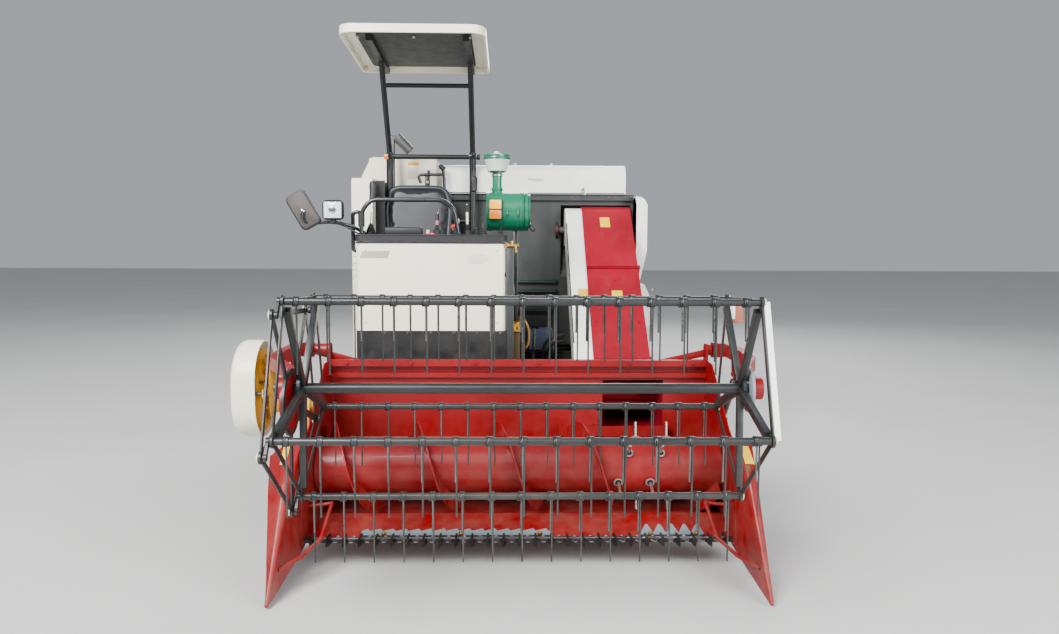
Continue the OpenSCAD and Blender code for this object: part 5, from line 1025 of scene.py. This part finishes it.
def buildRails(look):
    y = -0.548
    main = roundedPath([(-0.768, y, 1.5966), (-0.768, y, 1.728), (-0.712, y, 1.796), (-0.296, y, 1.796),
        (-0.235, y, 1.745), (-0.212, y, 1.6166), (-0.212, y, 1.5966)], look["bend"], 7)
    y = -0.473
    short = roundedPath([(-0.7883, y, 1.5), (-0.83, y, 1.5), (-0.83, y, 1.726), (-0.782, y, 1.726),
        (-0.782, y, 1.5966)], 0.028, 6)
    feet = [turned([(0, 0.02), (0.003, 0.022), (0.007, 0.022), (0.009, 0.015)], place, up, 24)
        for place in ((-0.768, -0.548, 1.597), (-0.212, -0.548, 1.597), (-0.782, -0.473, 1.597))]
    rails = joined([bar(main, look["radius"], 6), bar(short, look["radius"] * 0.92, 5)] + feet)
    finished(rails, "handrailTubes", "blackPaintGloss", "chassis", "handrails")
    finished(bar([(-0.768, -0.548, 1.64), (-0.768, -0.548, 1.72)], 0.0195, 5), "railSleeve", "moulded")


# header: guard bolts, rivets and bright edges of the knife, toothed sheets, auger bearing, gussets

headerLook = {"firstGuard": -0.8506, "pitch": 0.0762, "guards": 27, "barZ": 0.132, "knifeZ": 0.1366,
    "stripZ": 0.1262, "toothPitch": 0.062}


def toothedSheet(corners):  # thin saw-edged sheet in front of the pan's own strip
    return plateFrom([(x, -1.4504, z) for x, z in corners], 0.0022, forward, 0.0004, 1)


def buildHeader(look):
    x0, pitch, count = look["firstGuard"], look["pitch"], look["guards"]
    places = [(x0 + (k + 0.5) * pitch, -1.488, look["barZ"] + 0.0015) for k in range(count - 1)]
    bolts("guardBolts", places, (0, -0.45, 0.9), 0.01, "header")
    first = turned([(0, 0.0042), (0.0014, 0.0042), (0.0022, 0.0026)],
        (x0 + pitch / 2 - 0.012, -1.506, look["knifeZ"]), up, 8)
    shifts = [(k * pitch + side, 0, 0) for k in range(count - 1) for side in (0, 0.024) if k or side]
    finished(copies(first, shifts), "sectionRivets", "zinc", "knife")
    middle, z = x0 + pitch / 2, look["knifeZ"] + 0.0006
    edges = joined([bar([(middle + side * 0.0355, -1.5125, z), (middle + side * 0.0075, -1.5595, z)], 0.0013,
        0) for side in (-1, 1)])
    finished(rowOf(edges, (pitch, 0, 0), count - 1), "sectionEdges", "chrome", "knife")
    low, step = look["stripZ"], look["toothPitch"]
    saw = [(-0.63, low), (-0.63, 0.152)]
    for k in range(15):
        saw += [(-0.63 + (k + 0.5) * step, 0.1636), (-0.63 + (k + 0.5) * step + 0.012, 0.1515)]
    saw += [(0.3, 0.154), (0.3, low)]
    teeth = [(0.735, low), (0.735, 0.14)]
    for k in range(5):
        teeth += [(0.735 + (k + 0.36) * step, 0.1845), (0.735 + (k + 0.5) * step, 0.1825),
            (0.735 + (k + 1) * step, 0.14)]
    teeth.append((0.735 + 5 * step, low))
    finished([toothedSheet(saw), toothedSheet(teeth)], "toothedSheets", "stripSteel", "header")
    places = [(x, -1.4522, 0.138) for x in (-0.52, -0.146, 0.239)] + [(x, -1.4522, 0.136)
        for x in (0.783, 1.01)]
    bolts("toothedSheetBolts", places, forward, 0.013, "header", "brass")
    finished(bar([(-0.89, -1.4805, 0.1165), (1.17, -1.4805, 0.1165)], 0.0022), "panLip", "red", "header")
    finished(turned([(0, 0.074), (0.003, 0.076), (0.008, 0.076), (0.01, 0.052), (0.026, 0.046),
        (0.03, 0.028)], (1.1865, -1.163, 0.4), leftward, 40), "augerBearing", "castIron", "header")
    bolts("augerBearingBolts", aroundX((1.1945, -1.163, 0.4), 0.063, range(45, 405, 90)), leftward, 0.011,
        "header")
    places = [(-0.9062, -1.3, 0.62), (-0.9062, -0.95, 0.775)]
    bolts("braceBolts", places, rightward, 0.012, "header")
    bolts("braceBoltsLeft", [(1.1863, y, z) for _, y, z in places], leftward, 0.012, "header")
    places = [(x, -0.8735, 0.893) for x in (-0.8, -0.45, -0.1, 0.25, 0.75, 1.1)]
    bolts("beamBolts", places, forward, 0.012, "header", "red")
    gussets = [plateFrom([(outer, -0.8, 0.968), (inner, -0.8, topZ), (inner, -0.8, topZ - 0.034),
        (outer, -0.8, 0.926)], 0.012, rearward, 0.002)
        for outer, inner, topZ in ((-0.978, -0.7, 0.893), (1.2, 0.93, 0.905))]
    finished(gussets, "beamGussets", "red", "header")


fingerLook = {"tube": 0.14, "reach": 0.224, "axis": (-1.163, 0.4), "firstX": 0.64, "step": 0.054}


def buildFingers(look):  # bright fingers through their guides, with painted shade in the guides' holes, in front of the feeder's mouth
    rods, guides, holes = [], [], []
    for k in range(6):
        x = look["firstX"] + k * look["step"]
        for turn in (k * 120 + 20, k * 120 + 200):
            angle = math.radians(turn)
            out = Vector((0, math.cos(angle), math.sin(angle)))
            foot = Vector((x, *look["axis"])) + out * look["tube"]
            rods.append(bar([foot - out * 0.004, foot + out * (look["reach"] - look["tube"] + 0.0015)],
                0.0082, 2))
            guides.append(turned([(0, 0.023), (0.004, 0.025), (0.0105, 0.023), (0.0115, 0.018),
                (0.0095, 0.015)], foot, out, 20))
            # dark ring in each guide's hole: painted shade
            holes.append(turned([(0, 0.014), (0.0102, 0.0155), (0.0106, 0.012)], foot, out, 16))
    finished(rods, "augerFingers", "zinc", "auger")
    finished(guides, "fingerGuides", "cableGrey", "auger")
    finished(holes, "fingerHoleShade", "sootAndShadeBlack", "auger")


stickerLook = {  # on the sloping noses of the dividers: x of the four corners
    "dividerStickerRight": (-0.984, -0.956, -0.956, -0.984),
    "dividerStickerLeft": (1.206, 1.25, 1.24, 1.202),
}


def buildStickers(look):
    low, high = (-1.578, 0.5155), (-1.498, 0.5812)
    for name, across in look.items():
        corners = [(x, *level) for x, level in zip(across, (low, low, high, high))]
        finished(plateFrom(corners, 0.003, (0, -0.623, 0.782), 0.0006), name, "stickerYellow", "header")
    lower = [(1.204, -1.645, 0.458), (1.226, -1.645, 0.458), (1.226, -1.582, 0.511), (1.202, -1.582, 0.511)]
    finished(plateFrom(lower, 0.0035, (0, -0.66, 0.75), 0.0006), "dividerPatchLeft", "postBrown", "header")


flareLook = {"thick": 0.004, "seam": 0.0028}


def buildDividerFlare(look):  # thin outer sheet of the right divider, opening out towards the back
    edge = [(-0.948, -1.985, 0.022), (-0.968, -1.888, 0.153), (-1.0, -1.75, 0.27), (-1.036, -1.6, 0.4),
        (-1.066, -1.45, 0.525)]
    front = plateFrom(edge + [(-0.98, -1.42, 0.59), (-0.978, -1.56, 0.5), (-0.955, -1.75, 0.31)],
        look["thick"], (0.15, 0.62, -0.77), 0.0008)
    side = plateFrom(edge + [(-1.066, -1.385, 0.52), (-1.062, -1.385, 0.1), (-0.995, -1.8, 0.03)],
        look["thick"], leftward, 0.0008)
    finished([front, side], "dividerFlare", "red", "header")
    seams = [bar([(1.201, -1.826, 0.128), (1.2075, -1.878, 0.162), (1.2337, -1.888, 0.152)], look["seam"], 2),
        bar([(-0.9219, -1.836, 0.134), (-0.93, -1.88, 0.162), (-0.9506, -1.889, 0.157)], look["seam"], 2)]
    finished(seams, "dividerSeams", "feederRed", "header")


# reel: spiders on their tube, hub disc, the painted rim bar, coils of the tines, bright legs over the tines'
# upper half as painted highlight, bushes

reelLook = {"axis": (-2.011, 0.954), "radius": 0.452, "phase": 51.4, "ringShift": (-0.04, -0.05), "tines": 15,
    "firstTine": -0.719, "lastTine": 0.999, "coilRadius": 0.0185, "wire": 0.0028, "coilTurns": 2.0,
    "spiders": (-0.775, 1.055), "plate": 0.01, "tubeRadius": 0.0215,
    "shaftRadius": 0.022, "shaft": (-0.88, 1.145)}


def barPlace(look, k):
    return aroundX((0, *look["axis"]), look["radius"], [look["phase"] + 72 * k])[0][1:]


def flatBar(x0, x1, first, last, wide):  # a flat bar across x0..x1 between two places in the reel's plane
    (y0, z0), (y1, z1) = first, last
    along = Vector((0, y1 - y0, z1 - z0))
    over = Vector((0, -along.z, along.y)).normalized() * wide / 2
    a, b = Vector((x0, y0, z0)), Vector((x0, y1, z1))
    return plateFrom([a + over, b + over, b - over, a - over], x1 - x0, leftward, 0.002)


def spiderOf(look, x, inward):  # hub plate, five arms of square tube, five rim bars and the bars' eyes
    t = look["plate"]
    y, z = look["axis"]
    hub = (0.0, 0.06), (0.0015, 0.062), (t + 0.0045, 0.062), (t + 0.006, 0.06)
    parts = [turned(hub, (x - 0.003, y, z), leftward, 40)]
    low, high = (x, x + 0.026) if inward > 0 else (x + t - 0.026, x + t)
    for k in range(5):
        place, after = barPlace(look, k), barPlace(look, k + 1)
        share = 1 - 0.04 / look["radius"]
        end = (y + (place[0] - y) * share, z + (place[1] - z) * share)
        start = (y + (place[0] - y) * 0.06, z + (place[1] - z) * 0.06)
        parts.append(flatBar(low, high, start, end, 0.033))
        parts.append(flatBar(x + 0.001, x + t - 0.001, place, end, 0.024))
        parts.append(flatBar(x + 0.002, x + t - 0.002, place, after, 0.026))
        parts.append(turned([(0, 0.024), (0.001, 0.025), (t - 0.001, 0.025), (t, 0.024)], (x, *place),
            leftward, 24))
    return parts


def buildReelFrame(look):
    y, z = look["axis"]
    first, last = look["spiders"]
    parts = spiderOf(look, first, 1) + spiderOf(look, last, -1)
    parts.append(turned([(0, look["tubeRadius"]), (last - first, look["tubeRadius"])], (first + 0.002, y, z),
        leftward, 28))
    x0, x1 = look["shaft"]
    parts.append(turned([(0, look["shaftRadius"] - 0.002), (0.002, look["shaftRadius"]),
        (x1 - x0 - 0.002, look["shaftRadius"]), (x1 - x0, look["shaftRadius"] - 0.002)], (x0, y, z),
        leftward, 28))
    finished(parts, "reelSpiders", "reelGreen", "reel", "reel_frame")
    finished(turned([(0, 0.094), (0.002, 0.0975), (0.012, 0.0975), (0.014, 0.094), (0.016, 0.06),
        (0.018, 0.058)], (1.0785, y, z), leftward, 56), "reelHubDisc", "hubGrey", "reel")
    bolts("reelHubBolts", aroundX((1.068, y, z), 0.048, range(20, 380, 60)), leftward, 0.01, "reel")
    rim = flatBar(1.0655, 1.0885, barPlace(look, 1), barPlace(look, 2), 0.026)
    finished(rim, "reelWhiteBar", "white", "reel")
    finished(block((1.066, -1.752, 1.205), (1.128, -1.748, 1.288), 0.0012), "reflectorPlate",
        "reflectorBrown", "reel")
    finished(block((1.064, -1.7555, 1.222), (1.092, -1.7515, 1.286), 0.0012), "reflectorWhite", "white",
        "reel")


def buildReel(look):
    step = (look["lastTine"] - look["firstTine"]) / (look["tines"] - 1)
    dy, dz = look["ringShift"]
    for k in range(5):
        y, z = barPlace(look, k)
        body = f"tines_{k + 1}"
        x = look["firstTine"]
        turns = range(200, 201 + round(360 * look["coilTurns"]), 45)
        path = [(x - 0.014 + 0.007 * n / 8, coilY, coilZ)
            for n, (_, coilY, coilZ) in enumerate(aroundX((x, y, z), look["coilRadius"], turns))]
        coil = bar(path, look["wire"], 1)
        finished(rowOf(coil, (step, 0, 0), look["tines"]), f"tineCoils{k + 1}", "tineBlack", body)
        # bright steel over only the upper half of each tine: painted highlight where the bent wire catches
        # the light
        leg = bar([(x, y - 0.0062, z - 0.013), (x, y - 0.0072, z - 0.11), (x, y - 0.0077, z - 0.15)], 0.0039,
            1)
        finished(rowOf(leg, (step, 0, 0), look["tines"]), f"tineLegHighlights{k + 1}", "tineHighlightSteel", body)
        finished(turned([(0, 0.015), (0.002, 0.0175), (0.006, 0.0175), (0.008, 0.013)], (1.066, y, z),
            leftward, 20), f"barBush{k + 1}", "bushCream", "reel")
        finished(turned([(0, 0.0155), (0.0015, 0.0195), (0.006, 0.0195), (0.008, 0.014)],
            (-0.8074, y + dy, z + dz), rightward, 20), f"ringBush{k + 1}", "bushCream", "ring")


armLook = {"pivots": [("armPivotLeft", 1.2635, 1), ("armPivotRight", -1.0405, -1)], "axis": (-0.796, 0.96)}


def buildArmEnds(look):  # caps on the pivots of the reel arms
    for name, x, side in look["pivots"]:
        finished(turned([(0, 0.03), (0.002, 0.033), (0.005, 0.033), (0.006, 0.016), (0.009, 0.014)],
            (x, *look["axis"]), (side, 0, 0), 28), name, "zinc", "reel_arms")


# tracks: hub caps and sprocket bolts

trackLook = {"gauge": 0.55, "rollerY": (0.33, 0.6467, 0.9633, 1.28), "rollerZ": 0.134, "idler": (1.54, 0.274),
    "sprocket": (0.13, 0.43)}


def wheelCap(x, y, z, side, r):
    return turned([(0, r), (0.004, r * 1.02), (0.01, r * 0.94), (0.013, r * 0.55), (0.016, r * 0.5),
        (0.019, r * 0.3), (0.024, r * 0.26)], (x, y, z), (side, 0, 0), 28)


def buildTrackCaps(look):
    gauge, caps = look["gauge"], []
    wheels = [(0.0975, y, look["rollerZ"], 0.032) for y in look["rollerY"]]
    wheels += [(0.0915, *look["idler"], 0.062), (0.0315, *look["sprocket"], 0.07)]
    for side in (-1, 1):
        caps += [wheelCap(side * (gauge + out), y, z, side, r) for out, y, z, r in wheels]
    finished(caps, "trackWheelCaps", "castIron")
    for name, side in (("Right", -1), ("Left", 1)):
        spots = aroundX((side * (gauge + 0.0318), *look["sprocket"]), 0.095, range(30, 390, 60))
        bolts("sprocketBolts" + name, spots, (side, 0, 0), 0.014)


driveLook = {"x": -1.1805, "y": -1.195, "plateX": -1.279, "boltZ": (0.7, 0.92),
    "hubs": [("driveHubLower", 0.72, 0.034), ("driveHubUpper", 0.925, 0.026)]}


def buildDrive(look):
    y = look["y"]
    for name, z, r in look["hubs"]:
        finished(turned([(0, r), (0.004, r), (0.006, r * 0.6), (0.012, r * 0.55)], (look["x"], y, z),
            rightward, 24), name, "castIron", "header")
    bolts("guardPlateBolts", [(look["plateX"], y, z) for z in look["boltZ"]], rightward, 0.013, "header")


guardLook = {"open": -1.15, "radius": 0.195, "y": -1.195, "wall": 0.007, "sides": 32,
    "levels": [(0.09, 1.0), (0.106, 0.975), (0.118, 0.925), (0.126, 0.84), (0.1295, 0.7)]}


def buildDriveGuard(look):  # domed cover over the drive, open towards the header
    low, high = cornersOf("drive_guard")
    x, r, y = look["open"], look["radius"], look["y"]
    turns = [(n + 0.5) * 360 / look["sides"] for n in range(look["sides"])]
    half = look["sides"] // 2
    cover = outlineOf(aroundX((x, y, high.z - r), r, turns[:half]) + aroundX((x, y, low.z + r), r,
        turns[half:]))
    level, scale = 0.0, 1.0
    for distance, factor in look["levels"]:
        pushOut((level - distance, 0, 0))
        grow = factor / scale
        bpy.ops.transform.resize(value=(1, grow, grow),
            center_override=(x - distance, y, (low.z + high.z) / 2))
        level, scale = distance, factor
    editFaces(cover, lambda face: len(face.vertices) > 8 and abs(face.center.x - x) < 0.001)
    # hollow, with a raised seat for the plate of the drive
    for edge, sink in ((look["wall"], 0.09), (0.012, 0.018)):
        bpy.ops.mesh.inset(thickness=edge)
        pushOut((-sink, 0, 0))
    objectMode()
    finished(settle(cover, 40), "driveCover", "cream", "header", "drive_guard")
    studs = [bar([(-1.1115, y + s * 0.168, 0.813), (-1.238, y + s * 0.168, 0.813)], 0.008, 4)
        for s in (-1, 1)]
    finished(studs, "driveCoverStuds", "castIron", "header")


# every piece in turn

stages = {
    "seat": (buildSeat, seatLook),
    "levers": (buildLevers, leverLook),
    "lamp": (buildLamp, lampLook),
    "mirror": (buildMirror, mirrorLook),
    "front panel": (buildPanel, panelLook),
    "dash": (buildDashTop, dashLook),
    "air cleaner": (buildAirCleaner, cleanerLook),
    "hydraulics": (buildHydraulics, hydraulicLook),
    "bracket and clamps": (buildBehindSeat, bracketLook),
    "feeder": (buildFeeder, feederLook),
    "thresher": (buildThresher, thresherLook),
    "sides": (buildSides, sideLook),
    "back": (buildBack, backLook),
    "canopy": (buildCanopy, canopyLook),
    "exhaust": (buildExhaust, exhaustLook),
    "rails": (buildRails, railLook),
    "header": (buildHeader, headerLook),
    "auger fingers": (buildFingers, fingerLook),
    "stickers": (buildStickers, stickerLook),
    "divider sheets": (buildDividerFlare, flareLook),
    "reel frame": (buildReelFrame, reelLook),
    "reel": (buildReel, reelLook),
    "arm ends": (buildArmEnds, armLook),
    "track caps": (buildTrackCaps, trackLook),
    "drive": (buildDrive, driveLook),
    "drive cover": (buildDriveGuard, guardLook),
}
for stage, (build, look) in stages.items():
    build(look)
    print(stage, "done")


# stage: floor, light and camera

stageLook = {
    "floor": (186, 186, 184),
    "sky": (0.8, 0.84, 0.9),
    "skyStrength": 0.5,
    "lights": [  # name, place, aim, size, power
        ("keyLight", (-4.5, -8.0, 7.5), (0, -0.5, 1.0), 5.0, 2900),
        ("fillLight", (6.0, -7.0, 3.5), (0, -0.5, 1.0), 5.0, 950),
        ("backLight", (1.5, 8.0, 6.5), (0, 0.5, 1.2), 5.0, 700),
    ],
}


def buildStage(look):
    bpy.ops.object.select_all(action="DESELECT")
    bpy.ops.mesh.primitive_plane_add(size=80, location=(0, 0, -0.002))
    floor = bpy.context.object
    floor.name = "floor"
    finish, tree, shader, spot = startFinish("floorPaint")
    tone = remap(tree, noiseOn(tree, spot, 0.8, 5.0), 0.3, 0.7)
    paler = tuple(min(255, c + 6) for c in look["floor"])
    tree.links.new(blendColours(tree, tone, daylight(*look["floor"]), daylight(*paler)),
        shader.inputs["Base Color"])
    shader.inputs["Roughness"].default_value = 0.85
    floor.data.materials.append(finish)
    world = bpy.data.worlds.new("studio")
    world.use_nodes = True
    sky = world.node_tree.nodes["Background"]
    sky.inputs["Color"].default_value = look["sky"] + (1.0,)
    sky.inputs["Strength"].default_value = look["skyStrength"]
    bpy.context.scene.world = world
    for name, place, aim, size, power in look["lights"]:
        bpy.ops.object.light_add(type="AREA", location=place)
        lamp = bpy.context.object
        lamp.name = name
        lamp.data.size = size
        lamp.data.energy = power
        lamp.rotation_euler = (Vector(aim) - Vector(place)).to_track_quat("-Z", "Y").to_euler()


photoCamera = {  # fitted to the photograph: knife guards, reel ends and divider tips
    "place": (0.0952, -5.5055, 1.5669),
    "yaw": 1.2554,
    "down": 5.1543,
    "roll": 0.2567,
    "focalPixels": 851.4,
    "imageWidth": 1059,
}


def placeCamera(look):
    yaw, dip, roll = (math.radians(look[k]) for k in ("yaw", "down", "roll"))
    ahead = Vector((math.sin(yaw) * math.cos(dip), math.cos(yaw) * math.cos(dip), -math.sin(dip)))
    right = Vector((math.cos(yaw), -math.sin(yaw), 0))
    above = right.cross(ahead)
    side = math.cos(roll) * right + math.sin(roll) * above
    top = math.cos(roll) * above - math.sin(roll) * right
    lens = bpy.data.cameras.new("photoLens")
    lens.sensor_width = 36
    lens.lens = look["focalPixels"] / look["imageWidth"] * lens.sensor_width
    lens.clip_end = 200
    camera = bpy.data.objects.new("photoCamera", lens)
    bpy.context.collection.objects.link(camera)
    facing = Matrix((side, top, -ahead)).transposed().to_4x4()
    camera.matrix_world = Matrix.Translation(look["place"]) @ facing
    bpy.context.scene.camera = camera


buildStage(stageLook)
placeCamera(photoCamera)
print("stage and camera set")
